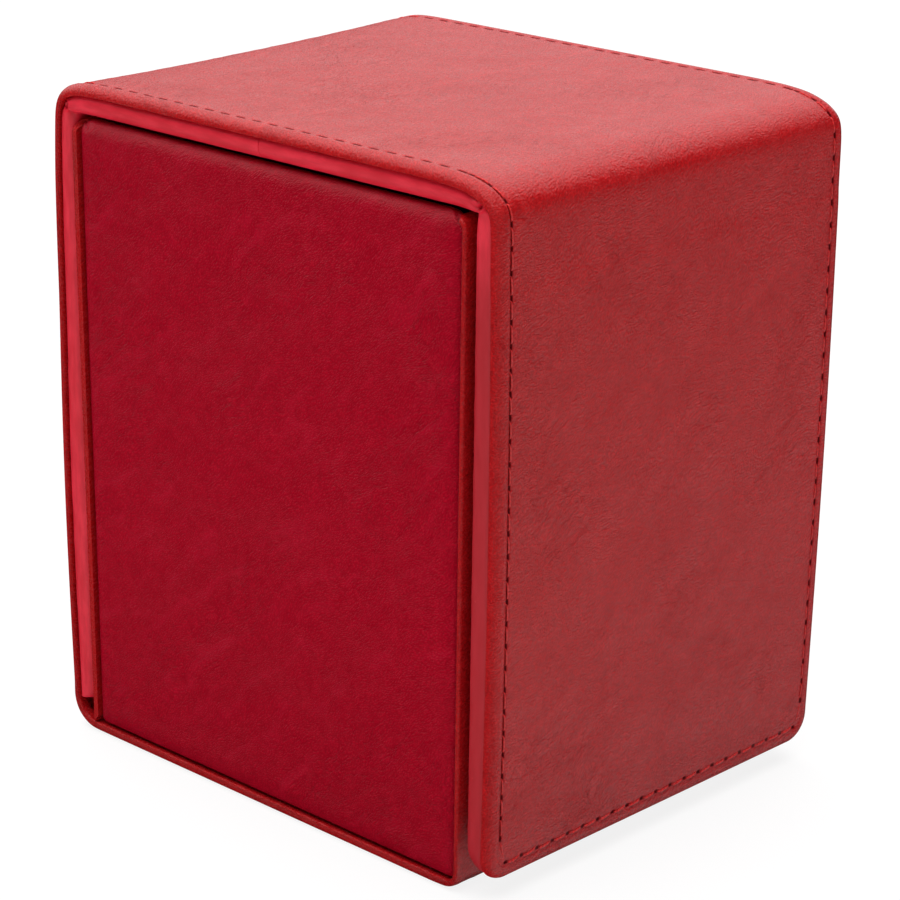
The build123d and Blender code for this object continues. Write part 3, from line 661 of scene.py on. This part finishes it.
# ---------------------------------------------------------------- edge lining
def lining_piece(name, PO, PI, half, leaf_s, bulge, r_out, r_in, nub=None, mat=None, end_in=None, seed=1):
    """Board edge wrapped in smooth lining. PO / PI are the outer and inner lines in section; the sides bulge between
    rounded corners. nub = (y, z) of the inner corner where the lining is folded and pinched."""
    T = np.array([0, 0.03, 0.08, 0.15, 0.23, 0.32, 0.41, 0.5, 0.59, 0.68, 0.77, 0.85, 0.92, 0.97, 1.0])
    th = np.linalg.norm(PI - PO, axis=1)
    rows = len(PO)
    xin = np.array([0.3, 0.7, 1.2, 2.0, 3.2])
    nmid = 46
    side = []
    ro, ri = np.broadcast_to(r_out, rows), np.broadcast_to(r_in, rows)
    for i in range(rows):
        t = th[i]
        r_out, r_in = ro[i], ri[i]
        dep = T * t
        a = np.clip(r_out - dep, 0, None)
        b = np.clip(r_in - (t - dep), 0, None)
        inset = (r_out - np.sqrt(np.clip(r_out ** 2 - a ** 2, 0, None))) + (r_in - np.sqrt(np.clip(r_in ** 2 - b ** 2, 0, None)))
        inset -= bulge * np.sin(np.pi * T) ** 0.8
        side.append(inset)
    side = np.array(side)
    end = np.zeros(rows) if end_in is None else end_in
    xs_side = half - 0.18 - side - end[:, None]
    # columns across the inner and outer faces
    wi, wo = xs_side[:, -1], xs_side[:, 0]
    u = np.linspace(-1, 1, nmid)[1:-1]
    rings, leafs = [], []
    for i in range(rows):
        P = PO[i][None] * (1 - T[:, None]) + PI[i][None] * T[:, None]
        left = np.c_[-xs_side[i], P]
        innerf = np.c_[u * wi[i], np.repeat(PI[i][None], len(u), 0)]
        right = np.c_[xs_side[i][::-1], P[::-1]]
        outerf = np.c_[-u * wo[i], np.repeat(PO[i][None], len(u), 0)]
        ring = np.vstack([left, innerf, right, outerf])
        lf = np.c_[np.r_[T * th[i], u * 38 + 60, (T * th[i])[::-1] + 30, -u * 38 + 160],
                   np.full(len(ring), leaf_s[i]), np.zeros(len(ring))]
        rings.append(ring)
        leafs.append(lf)
    V = np.array(rings)
    L = np.array(leafs)
    # faint waves where the lining was drawn tight
    on_side = np.zeros(V.shape[1])
    on_side[:len(T)] = -1
    on_side[len(T) + len(u):2 * len(T) + len(u)] = 1
    wave = vnoise(L[..., 1] / 2.6, L[..., 0] / 3.0 + seed, 50 + seed, 2) * 0.05
    V[..., 0] += on_side[None] * wave
    if nub is not None:
        for (cy, cz, amp, rad, kind) in nub:
            dy, dz = V[..., 1] - cy, V[..., 2] - cz
            rr = np.hypot(dy, dz)
            th_ = np.arctan2(dz, dy)
            if kind == "hole":
                V[..., 0] -= on_side[None] * amp * np.exp(-(rr / rad) ** 2)
            elif kind == "knob":
                V[..., 0] += on_side[None] * amp * np.exp(-(rr / rad) ** 2)
            elif kind == "star":
                V[..., 0] -= on_side[None] * amp * (0.5 + 0.5 * np.cos(5 * th_ + 0.6)) * np.exp(-((rr - rad * 0.6) / rad) ** 2)
            else:   # a crease: kind is (ny, nz) the line's normal
                q = dy * kind[0] + dz * kind[1]
                al = np.abs(-dy * kind[1] + dz * kind[0])
                V[..., 0] -= on_side[None] * amp * np.exp(-(q / rad) ** 2) * (1 - sstep(1.6, 2.6, al))
    f = ring_faces(rows, V.shape[1], cap0=False, cap1=False)
    c = V.shape[1]
    # end caps, row by row across the strip: left+inner half against right+outer half
    for base, on in ((0, True), ((rows - 1) * c, True)):
        h = len(T)
        nu = len(u)
        # left side joins to right side reversed; inner face column j joins outer face mirrored
        top = [base + h - 1] + [base + h + j for j in range(nu)] + [base + h + nu]
        bot = [base + 0] + [base + 2 * h + nu + (nu - 1 - j) for j in range(nu)] + [base + 2 * h + nu - 1]
        for j in range(len(top) - 1):
            f.append([top[j], top[j + 1], bot[j + 1], bot[j]])
        f.append([base + j for j in range(h)])
        f.append([base + h + nu + j for j in range(h)])
    return build(name, V.reshape(-1, 3), f, L.reshape(-1, 3), mat or lining_mat, sharp=55)


def inner_line(n0, n1, n2, p0, corner, p1, r=0.45):
    """Points down one leg, round a small inner corner and along the other, with given counts."""
    p0, corner, p1 = map(np.array, (p0, corner, p1))
    d0, d1 = (p0 - corner) / np.linalg.norm(p0 - corner), (p1 - corner) / np.linalg.norm(p1 - corner)
    a, b = corner + d0 * r, corner + d1 * r
    t = np.linspace(0, 1, n1)[:, None]
    bend = (1 - t) ** 2 * a + 2 * t * (1 - t) * corner + t ** 2 * b
    leg0 = p0 + (a - p0) * np.linspace(0, 1, n0, endpoint=False)[:, None]
    leg1 = b + (p1 - b) * np.linspace(0, 1, n2 + 1)[1:, None]
    return np.vstack([leg0, bend, leg1])


LD = 1.55      # depth of the lining's outer face below the cover's outer face
# front: foot of the flap lining, up the flap, round the bend, along the lid
phi = np.radians(np.arange(0, 91, 7.5))
foot_z = 4.25 + 4.1 * (1 - np.cos(phi))
foot_d = (HY - FIN - LD) * np.sin(phi)
s_foot = foot_z - FLAP_Z0
s_flap = rowset(foot_z[-1] - FLAP_Z0, S_FB0, 0.9)[1:]
s_bend = rowset(S_FB0, S_FB1, 0.22)[1:]
s_lid = rowset(S_FB1, S_MID, 0.9)[1:]
s_all = np.r_[s_foot, s_flap, s_bend, s_lid]
PO = cover.at(s_all, LD)
n_b = len(s_bend)
PIf = PO.copy()
PIf[:len(s_foot), 0] = PO[:len(s_foot), 0] + foot_d
PIf[len(s_foot):len(s_foot) + len(s_flap), 0] = -FIN
y1 = PO[len(s_foot) + len(s_flap) + n_b - 1, 0]
z0 = PO[len(s_foot) + len(s_flap) - 1, 1]
na = int(n_b * 0.40)
bl = inner_line(na, 7, n_b - na - 7 + 1, (-FIN, z0), (-FIN, LIN), (y1, LIN))
PIf[len(s_foot) + len(s_flap):len(s_foot) + len(s_flap) + n_b] = bl[-n_b:]
PIf[len(s_foot) + len(s_flap) + n_b:, 1] = LIN
end_in = np.zeros(len(s_all))
end_in[:len(s_foot)] = 1.9 * (1 - np.sin(phi))
nubs_front = [(-43.30, 104.10, 1.00, 0.26, "hole"), (-42.80, 105.05, 0.75, 0.60, "knob"), (-43.9, 103.5, 0.30, 0.5, "knob"),
              (-43.9, 104.9, 0.26, 0.26, (0.707, 0.707)), (-43.0, 104.2, 0.20, 1.0, "star")]
fat = sstep(S_FB0 + 2, S_FB1 - 2, s_all)
front_lining = lining_piece("front_edge_lining", PO, PIf, 37.7, s_all, 0.22, 0.50 + 0.55 * fat, 0.62 + 1.2 * fat,
                            nubs_front, end_in=end_in, seed=2)

# rear: lid half, bend, down the back to its foot
s_lid2 = rowset(S_MID, S_RB0, 0.9)
s_bend2 = rowset(S_RB0, S_RB1, 0.22)[1:]
S_LFOOT = cover.find(lambda y, z: np.abs(z - 7.3) + (y < 40) * 1e3)
s_back = rowset(S_RB1, S_LFOOT, 0.9)[1:]
phi2 = np.radians(np.arange(90, -1, -9))
zf = 4.95 + 2.3 * (1 - np.cos(phi2))
depth_back = LD + 0.12 * sstep(S_RB0 + 4, S_RB1, np.r_[s_lid2, s_bend2, s_back])
PO2 = cover.at(np.r_[s_lid2, s_bend2, s_back], depth_back)
PI2 = PO2.copy()
PI2[:len(s_lid2), 1] = LIN
k0, k1 = len(s_lid2), len(s_lid2) + len(s_bend2)
nb2 = len(s_bend2)
yr, zb = PO2[k0 - 1, 0], PO2[k1 - 1, 1]
na2 = int(nb2 * 0.42)
bl2 = inner_line(na2, 7, nb2 - na2 - 7 + 1, (yr, LIN), (BIN, LIN), (BIN, zb))
PI2[k0:k1] = bl2[-nb2:]
PI2[k1:, 0] = BIN
tail_z = zf[1:]
PO2 = np.vstack([PO2, np.c_[np.full(len(tail_z), PO2[-1, 0]), tail_z]])
PI2 = np.vstack([PI2, np.c_[PO2[-1, 0] - (PO2[len(s_lid2) + len(s_bend2) + len(s_back) - 1, 0] - BIN) * (0.55 + 0.45 * np.sin(phi2[1:])), tail_z]])
s_all2 = np.r_[s_lid2, s_bend2, s_back, s_back[-1] + (7.3 - tail_z)]
nubs_rear = [(43.3, 103.95, 0.95, 0.40, "hole"), (44.3, 105.15, 0.30, 0.70, "knob"), (42.2, 103.9, 0.22, 0.7, "knob"),
             (43.6, 104.6, 0.32, 0.28, (-0.707, 0.707)), (43.9, 105.0, 0.30, 1.1, "star")]
rear_lining = lining_piece("rear_edge_lining", PO2, PI2, 37.7, s_all2 + 400, 0.26, 1.05, 1.75, nubs_rear, seed=6)


# ---------------------------------------------------------------- stitching
def thread(x0, s0, ang, length, sink=0.20, bend=0.0, r=0.17):
    """One stitch on the cover at (x0, s0), lying at ang degrees from the x direction, its ends dipping into holes."""
    nt_, nr = 15, 9
    t = np.linspace(-1, 1, nt_)
    ca, sa = math.cos(math.radians(ang)), math.sin(math.radians(ang))
    lx = t * length / 2
    ly = bend * (1 - t * t)
    cx, cs = x0 + lx * ca - ly * sa, s0 + lx * sa + ly * ca
    dep = sink + 0.34 * np.abs(t) ** 5
    rad = r * np.sqrt(np.clip(1 - (np.abs(t) * 0.985) ** 8, 0.02, 1))
    th_ = np.linspace(0, 2 * np.pi, nr, endpoint=False)
    tt, aa = np.meshgrid(t, th_, indexing="ij")
    rr = rad[:, None] * (1 + 0.04 * np.cos(2 * (aa - tt * length * 2.1)))
    # across the thread: n1 in the sheet, n2 = depth
    dx, ds = -sa * np.cos(aa) * rr, ca * np.cos(aa) * rr
    xx = cx[:, None] + dx
    ss = cs[:, None] + ds
    dd = dep[:, None] - np.sin(aa) * rr
    P = cover.at(ss, dd)
    V = np.concatenate([xx[..., None], P], -1)
    lf = np.stack([tt * length / 2 + x0 * 3 + s0, aa * 0.5, rr], -1)
    f = ring_faces(nt_, nr, False, False)
    V, lf = V.reshape(-1, 3), lf.reshape(-1, 3)
    c0, c1 = V[:nr].mean(0), V[-nr:].mean(0)
    n = len(V)
    V = np.vstack([V, c0, c1])
    lf = np.vstack([lf, lf[0], lf[-1]])
    for j in range(nr):
        f.append([j, (j + 1) % nr, n])
        f.append([(nt_ - 1) * nr + j, (nt_ - 1) * nr + (j + 1) % nr, n + 1])
    return V, f, lf


def sew(name, items):
    V, F, L, o = [], [], [], 0
    for it in items:
        v, f, lf = thread(*it)
        V.append(v)
        L.append(lf)
        F += [[i + o for i in q] for q in f]
        o += len(v)
    return build(name, np.vstack(V), F, np.vstack(L), thread_mat, weld=1e-9, sharp=80)


rng = np.random.RandomState(11)
front_items, rear_items = [], []
for k in range(0, 200):
    s = 5.5 + PITCH * k
    if s > S_BASE - 1.2:
        break
    on_lid = S_FB1 - 3 < s < S_RB0 + 3
    for sx in (-1, 1):
        j = rng.uniform(-1, 1, 4)
        it = (sx * (HX - SEAM - 0.11) + 0.03 * j[0], s + 0.06 * j[1], 90 - sx * 2.0 + 1.5 * j[2], 2.85,
              0.06 + 0.02 * j[2], 0.04 * j[3], 0.150)
        if on_lid:
            it = (it[0], it[1], it[2], 1.5, 0.36, 0.0, 0.13)
        if k == 0:
            it = (sx * 34.85, 5.15, 90 - sx * 14, 3.3, 0.06, -0.10 * sx, 0.15)
        if s < S_MID - 1.5:
            front_items.append(it)
        elif s > S_MID + 1.5:
            rear_items.append(it)
        else:
            front_items.append((it[0], S_MID - 1.0, it[2], 1.5, 0.30, 0, 0.13))
for i in range(20):
    j = rng.uniform(-1, 1, 4)
    front_items.append((PITCH * (i - 9.5) + 0.05 * j[0], FOOT - 0.06 + 0.03 * j[1], 9.0 + 2.5 * j[2], 2.75, 0.03,
                        -0.10 + 0.03 * j[3], 0.20))
front_thread = sew("front_stitching", front_items)
rear_thread = sew("rear_stitching", rear_items)


# ---------------------------------------------------------------- side plates
def plate(name, sx):
    """Leatherette over the plate board: rolled edges, carried over the rim and turned down inside the card bay."""
    pts = ([(HX - 0.0, 1.75), (HX, 20), (HX + 0.05, 60), (HX, 92), (HX - 0.03, RIM - 2.4)]
           + list(map(tuple, arc(HX - 1.85, RIM - 2.1, 1.82, 0, 90, 20, ry=2.4))) + [(35.7, RIM + 0.2)]
           + list(map(tuple, arc(35.2, RIM - 0.9, 1.0, 90, 180, 12))) + [(34.2, 99), (34.2, TURN)])
    pts = [(-a, b) for a, b in pts]          # outward on the left when it climbs on the -x side
    p = Path(pts, sigma=0.35)
    s_top = p.find(lambda a, z: np.abs(a + 36.0) + (z < RIM - 1) * 1e3)
    s_edge = p.find(lambda a, z: np.abs(z - 98.5) + (a > -37) * 1e3)
    Ya, Yb = -40.0, 40.35
    d = np.array([0, 0.02, 0.08, 0.18, 0.31, 0.47, 0.66, 0.88, 1.12, 1.38, 1.66, 2.0, 2.5, 3.2, 4.2])
    n = 62
    yc = np.r_[Ya + d, np.linspace(Ya + d[-1], Yb - d[-1], n)[1:-1], (Yb - d)[::-1]]
    rows = np.r_[1.0 * (1 - np.cos(np.radians(np.arange(0, 90, 9)))) * 1.0, rowset(1.0, s_edge, 0.8),
                 rowset(s_edge, p.L - 3.0, 0.22)[1:], rowset(p.L - 3.0, p.L - 0.02, 0.4)[1:]]
    rows = np.unique(np.round(rows, 5))
    S, Y = np.meshgrid(rows, yc, indexing="ij")
    # width narrows over the rim so that it meets the end walls in a mitre
    k = sstep(s_top - 1.3, s_top + 2.0, S)
    lo, hi = Ya + 2.45 * k, Yb - 1.05 * k
    y = lo + (Y - Ya) * (hi - lo) / (Yb - Ya)
    rc = 1.3
    q0, q1 = np.minimum(y - lo, hi - y), S
    cor = (q0 < rc) & (q1 < rc)
    dd = np.where(cor, rc - np.hypot(rc - q0, rc - q1), np.minimum(q0, q1))
    R1 = 1.30
    r_out = roll(np.where(cor, dd, np.minimum(q0, q1)) * 0.50, R1) * (1 - 0.70 * k)
    puff = -0.08 * np.exp(-((dd - 3.2) / 1.3) ** 2)
    lum = vnoise(y / 17, S / 20, 71, 2) * 0.10 * sstep(2, 9, dd) + vnoise(y / 5, S / 6, 73, 2) * 0.016
    diag = vnoise((y + S * 0.9) / 5.5, (y - S) / 2.6, 75, 2) * 0.012 * sstep(2, 6, dd)
    out = r_out + puff * (1 - k) - (lum + diag) * (1 - 0.8 * k)
    # little gathered fold where the corner is turned over the rim
    for yy in (Ya + 1.2, Yb - 1.2):
        out += 0.35 * np.exp(-(((y - yy) - 0.75 * (S - s_top + 1.4)) / 0.22) ** 2) * np.exp(-((S - s_top + 1.2) / 1.3) ** 2)
    tray = 1.84 * (1 - sstep(0.9, 1.9, dd)) + 0.72 * sstep(0.9, 1.9, dd)
    inn = tray * (1 - k) + 0.55 * k
    inn = np.maximum(inn, out + 0.02)
    inn = np.where(S > p.L - 0.1, out, inn)
    inn = np.where(S < 1e-6, out, inn)
    inn[-1], inn[0] = out[-1], out[0]
    Po, Pi = p.at(S, out), p.at(S, inn)
    vo = np.stack([Po[..., 0], y, Po[..., 1]], -1)
    vi = np.stack([Pi[..., 0], y, Pi[..., 1]], -1)
    ring = np.concatenate([vo, vi[:, ::-1]], 1)
    leaf = np.concatenate([np.stack([y, S + 37 * (sx > 0), out], -1), np.stack([y, S, inn + 3], -1)[:, ::-1]], 1)
    if sx > 0:
        ring[..., 0] *= -1
    f = ring_faces(len(rows), ring.shape[1], False, False)
    return build(name, ring.reshape(-1, 3), f, leaf.reshape(-1, 3), plate_mat, sharp=60)


left_plate = plate("left_side_plate_leather", -1)
right_plate = plate("right_side_plate_leather", 1)


# ---------------------------------------------------------------- rear wall leatherette
def rear_ridge():
    pts = [(41.6, 1.72), (41.6, 30), (41.6, RIM - 1.4)] + list(map(tuple, arc(40.475, RIM - 1.125, 1.125, 0, 180, 30))) \
        + [(39.35, TURN)]
    pts = pts[::1]
    p = Path([(a, b) for a, b in pts], sigma=0.25)
    # climbing on the +y side: outward is on the right, so depth is taken with the opposite sign
    s_top = p.find(lambda a, z: np.abs(z - RIM))
    d = np.array([0, 0.03, 0.1, 0.2, 0.32, 0.5, 0.8, 1.4, 2.2, 3.5])
    xs = np.r_[-(HX - d), np.linspace(-(HX - 3.5), HX - 3.5, 40)[1:-1], (HX - d)[::-1]]
    rows = np.r_[rowset(0, s_top - 4, 1.2), rowset(s_top - 4, s_top + 5, 0.25)[1:], rowset(s_top + 5, p.L - 0.02, 0.6)[1:]]
    S, X = np.meshgrid(rows, xs, indexing="ij")
    W = HX - 1.95 * sstep(s_top - 2.5, s_top, S) - 1.85 * sstep(s_top, s_top + 2.5, S)
    x = X * W / HX
    dd = W - np.abs(x)
    out = roll(dd, 0.15) + vnoise(x / 9, S / 9, 91, 2) * 0.03
    inn = np.full_like(out, 1.10)
    inn = np.maximum(inn, out + 0.02)
    inn[0], inn[-1] = out[0], out[-1]
    Po, Pi = p.at(S, -out), p.at(S, -inn)
    vo = np.concatenate([x[..., None], Po], -1)
    vi = np.concatenate([x[..., None], Pi], -1)
    ring = np.concatenate([vo, vi[:, ::-1]], 1)
    leaf = np.concatenate([np.stack([x, S + 500, out], -1), np.stack([x, S + 500, inn + 3], -1)[:, ::-1]], 1)
    f = ring_faces(len(rows), ring.shape[1], False, False)
    return build("rear_wall_leather_wrap", ring.reshape(-1, 3), f, leaf.reshape(-1, 3), cover_mat,
                 np.zeros(ring.shape[0] * ring.shape[1]), sharp=60)


rear_wrap = rear_ridge()


# ---------------------------------------------------------------- card bay lining
def pad(name, ax, fixed0, fixed1, a0, a1, b0, b1, notch=False, seed=1):
    """A thin napped panel, its face at fixed1, with soft edges. ax is the axis it is thin along; a, b its extents."""
    da = np.array([0, 0.05, 0.15, 0.3, 0.55, 1.0])
    A = np.r_[a0 + da, np.linspace(a0 + 1, a1 - 1, 48)[1:-1], (a1 - da)[::-1]]
    B = np.r_[b0 + da, np.linspace(b0 + 1, b1 - 1, 52)[1:-1], (b1 - da)[::-1]]
    g, h = np.meshgrid(B, A, indexing="ij")
    dist = np.minimum(np.minimum(h - a0, a1 - h), np.minimum(g - b0, b1 - g))
    th = fixed1 - fixed0
    soft = roll(dist, 0.35) / 0.35
    face = fixed1 - th * 0.7 * soft + 0.05 * vnoise(h / 7, g / 8, 100 + seed, 2) * np.sign(th) * sstep(0.3, 2, dist) * 0.8
    back = np.full_like(face, fixed0)
    gg = g.copy()
    if notch:
        dip = 13.7 * np.clip(1 - (np.abs(h) / 16.3) ** 2, 0, 1) ** 0.5
        top = np.minimum(b1, RIM - dip - 0.0 - 4.6)
        top = np.where(np.abs(h) < 16.3, top, b1)
        gg = b0 + (g - b0) * (top - b0) / (b1 - b0)
    def put(c):
        v = np.zeros(c.shape + (3,))
        o = [i for i in range(3) if i != ax]
        v[..., ax] = c
        v[..., o[0]] = h
        v[..., o[1]] = gg
        return v
    vo, vi = put(face), put(back)
    n, m = face.shape
    V = np.concatenate([vo.reshape(-1, 3), vi.reshape(-1, 3)])
    f = []
    idx = np.arange(n * m).reshape(n, m)
    q = np.stack([idx[:-1, :-1], idx[:-1, 1:], idx[1:, 1:], idx[1:, :-1]], -1).reshape(-1, 4)
    f += q.tolist() + (q[:, ::-1] + n * m).tolist()
    rim = np.r_[idx[0, :-1], idx[:-1, -1], idx[-1, :0:-1], idx[:0:-1, 0]]
    for a, b in zip(rim, np.roll(rim, -1)):
        f.append([int(a), int(b), int(b) + n * m, int(a) + n * m])
    leaf = V + np.array([0, 0, 0])
    return build(name, V, f, leaf, micro_mat, sharp=60)


front_pad = pad("front_microfibre_panel", 1, -38.05, -37.58, -34.1, 34.1, 3.0, 95.95, notch=True, seed=1)
rear_pad = pad("rear_microfibre_panel", 1, 39.85, 39.38, -34.1, 34.1, 3.0, 95.95, seed=2)
left_pad = pad("left_microfibre_panel", 0, -34.65, -34.22, -38.0, 39.8, 3.0, 95.95, seed=3)
right_pad = pad("right_microfibre_panel", 0, 34.65, 34.22, -38.0, 39.8, 3.0, 95.95, seed=4)
floor_pad = pad("floor_microfibre_panel", 2, 3.0, 3.5, -34.0, 34.0, -37.45, 39.2, seed=5)


# ---------------------------------------------------------------- flap board, shaped as its lining is
def flap_core():
    ph = np.radians(np.arange(0, 91, 10))
    z = np.r_[5.95 + 3.4 * (1 - np.cos(ph)), rowset(9.4, 99.2, 3)[1:]]
    dpt = np.r_[0.15 + 2.35 * np.sin(ph), np.full(len(z) - len(ph), 2.50)]
    wdt = np.r_[34.6 + 2.2 * np.sin(ph), np.full(len(z) - len(ph), 36.8)]
    V, L = [], []
    cr = 0.25
    for zi, di, wi in zip(z, dpt, wdt):
        y0 = -HY + 1.68
        y1_ = y0 + di
        c = min(cr, di * 0.4)
        ring = [(-wi + c, y0), (-wi, y0 + c), (-wi, y1_ - c), (-wi + c, y1_), (0, y1_), (wi - c, y1_), (wi, y1_ - c),
                (wi, y0 + c), (wi - c, y0), (0, y0)]
        V.append([(a, b, zi) for a, b in ring])
    V = np.array(V)
    f = ring_faces(len(z), 10, False, False)
    f.append(list(range(10)))
    f.append([(len(z) - 1) * 10 + i for i in range(10)])
    return build("flap_board_core", V.reshape(-1, 3), f, V.reshape(-1, 3), board_mat, sharp=40)


def board_core(name, along, put):
    """Stiff board inside the rounded lining: soft arrises, edges eased more on the inner side."""
    V = []
    for i, t in enumerate(along):
        e = 0.4 * (i == 0 or i == len(along) - 1)
        w = 36.2 - e
        ring = [(-w + 0.3, e * 0.5), (-w, 0.3 + e * 0.5), (-w, 1.9), (-w + 0.7, 2.6 - e * 0.5), (0, 2.6 - e * 0.5),
                (w - 0.7, 2.6 - e * 0.5), (w, 1.9), (w, 0.3 + e * 0.5), (w - 0.3, e * 0.5), (0, e * 0.5)]
        V.append([put(a, b, t) for a, b in ring])
    V = np.array(V)
    f = ring_faces(len(along), 10, False, False)
    f.append(list(range(10)))
    f.append([(len(along) - 1) * 10 + i for i in range(10)])
    return build(name, V.reshape(-1, 3), f, V.reshape(-1, 3), board_mat, sharp=40)


lid_core = board_core("lid_board_core", rowset(-39.0, 39.0, 3), lambda x, d, t: (x, t, 106.25 - d))
back_core = board_core("back_board_core", rowset(5.6, 99.6, 3), lambda x, d, t: (x, 45.3 - d, t))
core = flap_core()

# ---------------------------------------------------------------- riding and standing in
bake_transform(front_cover)
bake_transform(front_thread)
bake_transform(front_lining)
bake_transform(rear_cover)
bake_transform(rear_thread)
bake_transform(rear_lining)
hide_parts("flap_leather", "front_hinge_leather")
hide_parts("lid_leather", "rear_hinge_leather", "body_wrap_leather")
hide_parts("flap_lining", "lid_lining", "front_hinge_lining")
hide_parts("rear_hinge_lining", "back_lining")
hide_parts("flap_stitching", "front_hinge_stitching", "lid_stitching")
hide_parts("rear_hinge_stitching", "back_stitching")
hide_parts("flap_board")
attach(lid_core, "lid")
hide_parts("lid_board")
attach(back_core, "body")
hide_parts("back_board")
for ob, body, node in ((left_plate, "body", "left_plate_leather"), (right_plate, "body", "right_plate_leather"),
                       (rear_wrap, "body", "rear_wall_leather"), (front_pad, "body", "front_microfibre"),
                       (rear_pad, "body", "rear_microfibre"), (left_pad, "body", "left_microfibre"),
                       (right_pad, "body", "right_microfibre"), (floor_pad, "body", "floor_microfibre")):
    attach(ob, body)
    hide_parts(node)
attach(core, "flap")
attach(front_wall, "body")

for name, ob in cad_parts.items():
    mat = magnet_mat if "magnets" in name else board_mat
    if not ob.hide_render:
        ob.data.materials.clear()
        ob.data.materials.append(mat)

# ---------------------------------------------------------------- camera
yaw, pitch, roll_a = 0.76254, 0.41166, -0.00808
fwd = Vector((math.sin(yaw) * math.cos(pitch), math.cos(yaw) * math.cos(pitch), -math.sin(pitch)))
rgt = Vector((math.cos(yaw), -math.sin(yaw), 0))
upv = rgt.cross(fwd)
cx_ = math.cos(roll_a) * rgt + math.sin(roll_a) * upv
cy_ = -math.sin(roll_a) * rgt + math.cos(roll_a) * upv
cam_data = bpy.data.cameras.new("camera")
cam_data.sensor_width = 36.0
cam_data.lens = 121.331
cam_data.clip_start, cam_data.clip_end = 0.01, 20.0
cam = bpy.data.objects.new("camera", cam_data)
bpy.context.scene.collection.objects.link(cam)
HOME = (-0.3293282, -0.3141773, 0.2086173)
cam.matrix_world = Matrix(((cx_.x, cy_.x, -fwd.x, HOME[0]), (cx_.y, cy_.y, -fwd.y, HOME[1]),
                           (cx_.z, cy_.z, -fwd.z, HOME[2]), (0, 0, 0, 1)))
# off-centre frame at the home position only, so that a camera moved elsewhere stays centred
for path, val in (("shift_x", 0.16050), ("shift_y", 0.25704)):
    dr = cam_data.driver_add(path).driver
    dr.type = "SCRIPTED"
    dv = dr.variables.new()
    dv.name, dv.type = "x", "TRANSFORMS"
    dv.targets[0].id = cam
    dv.targets[0].transform_type, dv.targets[0].transform_space = "LOC_X", "WORLD_SPACE"
    dr.expression = "%.5f if abs(x - (%.7f)) < 0.0005 else 0.0" % (val, HOME[0])
    setattr(cam_data, path, val)
bpy.context.scene.camera = cam

# ---------------------------------------------------------------- floor and light
fm = bpy.data.meshes.new("floor")
bmf = bmesh.new()
bmesh.ops.create_grid(bmf, x_segments=4, y_segments=4, size=4.0)
for v in bmf.verts:
    v.co.z = -0.0002
bmf.to_mesh(fm)
bmf.free()
floor = bpy.data.objects.new("floor", fm)
bpy.context.scene.collection.objects.link(floor)
fmat = bpy.data.materials.new("floor_finish")
fmat.use_nodes = True
nt = fmat.node_tree
nt.nodes.clear()
n = N(nt)
lp = n("ShaderNodeLightPath")
d1 = n("ShaderNodeBsdfDiffuse", {"Color": (0.84, 0.84, 0.84, 1)})
d2 = n("ShaderNodeBsdfDiffuse", {"Color": (0.13, 0.13, 0.13, 1)})
em = n("ShaderNodeEmission", {"Color": (1, 1, 1, 1), "Strength": 0.86})
add = n("ShaderNodeAddShader", {0: d2.outputs[0], 1: em.outputs[0]})
mx = n("ShaderNodeMixShader", {0: lp.outputs["Is Camera Ray"], 1: d1.outputs[0], 2: add.outputs[0]})
outn = n("ShaderNodeOutputMaterial", {"Surface": mx.outputs[0]})
fm.materials.append(fmat)
floor.visible_glossy = False

sun_d = bpy.data.lights.new("overhead_softbox", "SUN")
sun_d.energy = 5.1
sun_d.angle = math.radians(75)
sun = bpy.data.objects.new("overhead_softbox", sun_d)
bpy.context.scene.collection.objects.link(sun)
sun.rotation_euler = Vector((-0.02, 0.10, 1.0)).to_track_quat("Z", "Y").to_euler()
sun.visible_glossy = False

world = bpy.data.worlds.new("studio")
bpy.context.scene.world = world
world.use_nodes = True
nt = world.node_tree
nt.nodes.clear()
n = N(nt)
lp = n("ShaderNodeLightPath")
dirv = n("ShaderNodeTexCoord").outputs["Generated"]
sx = n("ShaderNodeSeparateXYZ", {"Vector": dirv})
X_, Y_, Z_ = sx.outputs
# a wide ceiling panel over the back, a low panel in front on the right, and a weak one on the left
over = n.math("MULTIPLY", n.map(Z_, -0.05, 0.30), n.map(Y_, -0.12, 0.04))
over = n.math("MULTIPLY", over, n.map(X_, -0.72, -0.10))
over = n.math("MULTIPLY", over, 1.12)
front = n.math("MULTIPLY", n.map(X_, -0.10, 0.30), n.map(Y_, 0.0, -0.30))
front = n.math("MULTIPLY", front, n.map(Z_, 0.10, -0.10))
front = n.math("MULTIPLY", front, n.math("MULTIPLY_ADD", n.map(Z_, -0.18, -0.50), 0.75, 0.16))
left = n.math("MULTIPLY", n.map(X_, -0.75, -0.95), 0.25)
lampv = n("ShaderNodeVectorMath", {0: dirv, 1: Vector((-0.30, 0.25, 0.92)).normalized()[:]}, operation="DOT_PRODUCT")
lampf = n.map(lampv.outputs["Value"], 0.86, 0.98, 0.0, 0.35)
g = n.math("ADD", n.math("ADD", over, front), n.math("ADD", lampf, n.math("ADD", left, 0.008)))
amb = 0.04
strength = n("ShaderNodeMix", {0: lp.outputs["Is Glossy Ray"], 2: amb, 3: g}, data_type="FLOAT").outputs[0]
strength = n("ShaderNodeMix", {0: lp.outputs["Is Camera Ray"], 2: strength, 3: 1.0}, data_type="FLOAT").outputs[0]
bg = n("ShaderNodeBackground", {"Color": (1, 1, 1, 1), "Strength": strength})
n("ShaderNodeOutputWorld", {"Surface": bg.outputs[0]})

bpy.context.scene.view_settings.view_transform = "Standard"
bpy.context.scene.view_settings.look = "None"
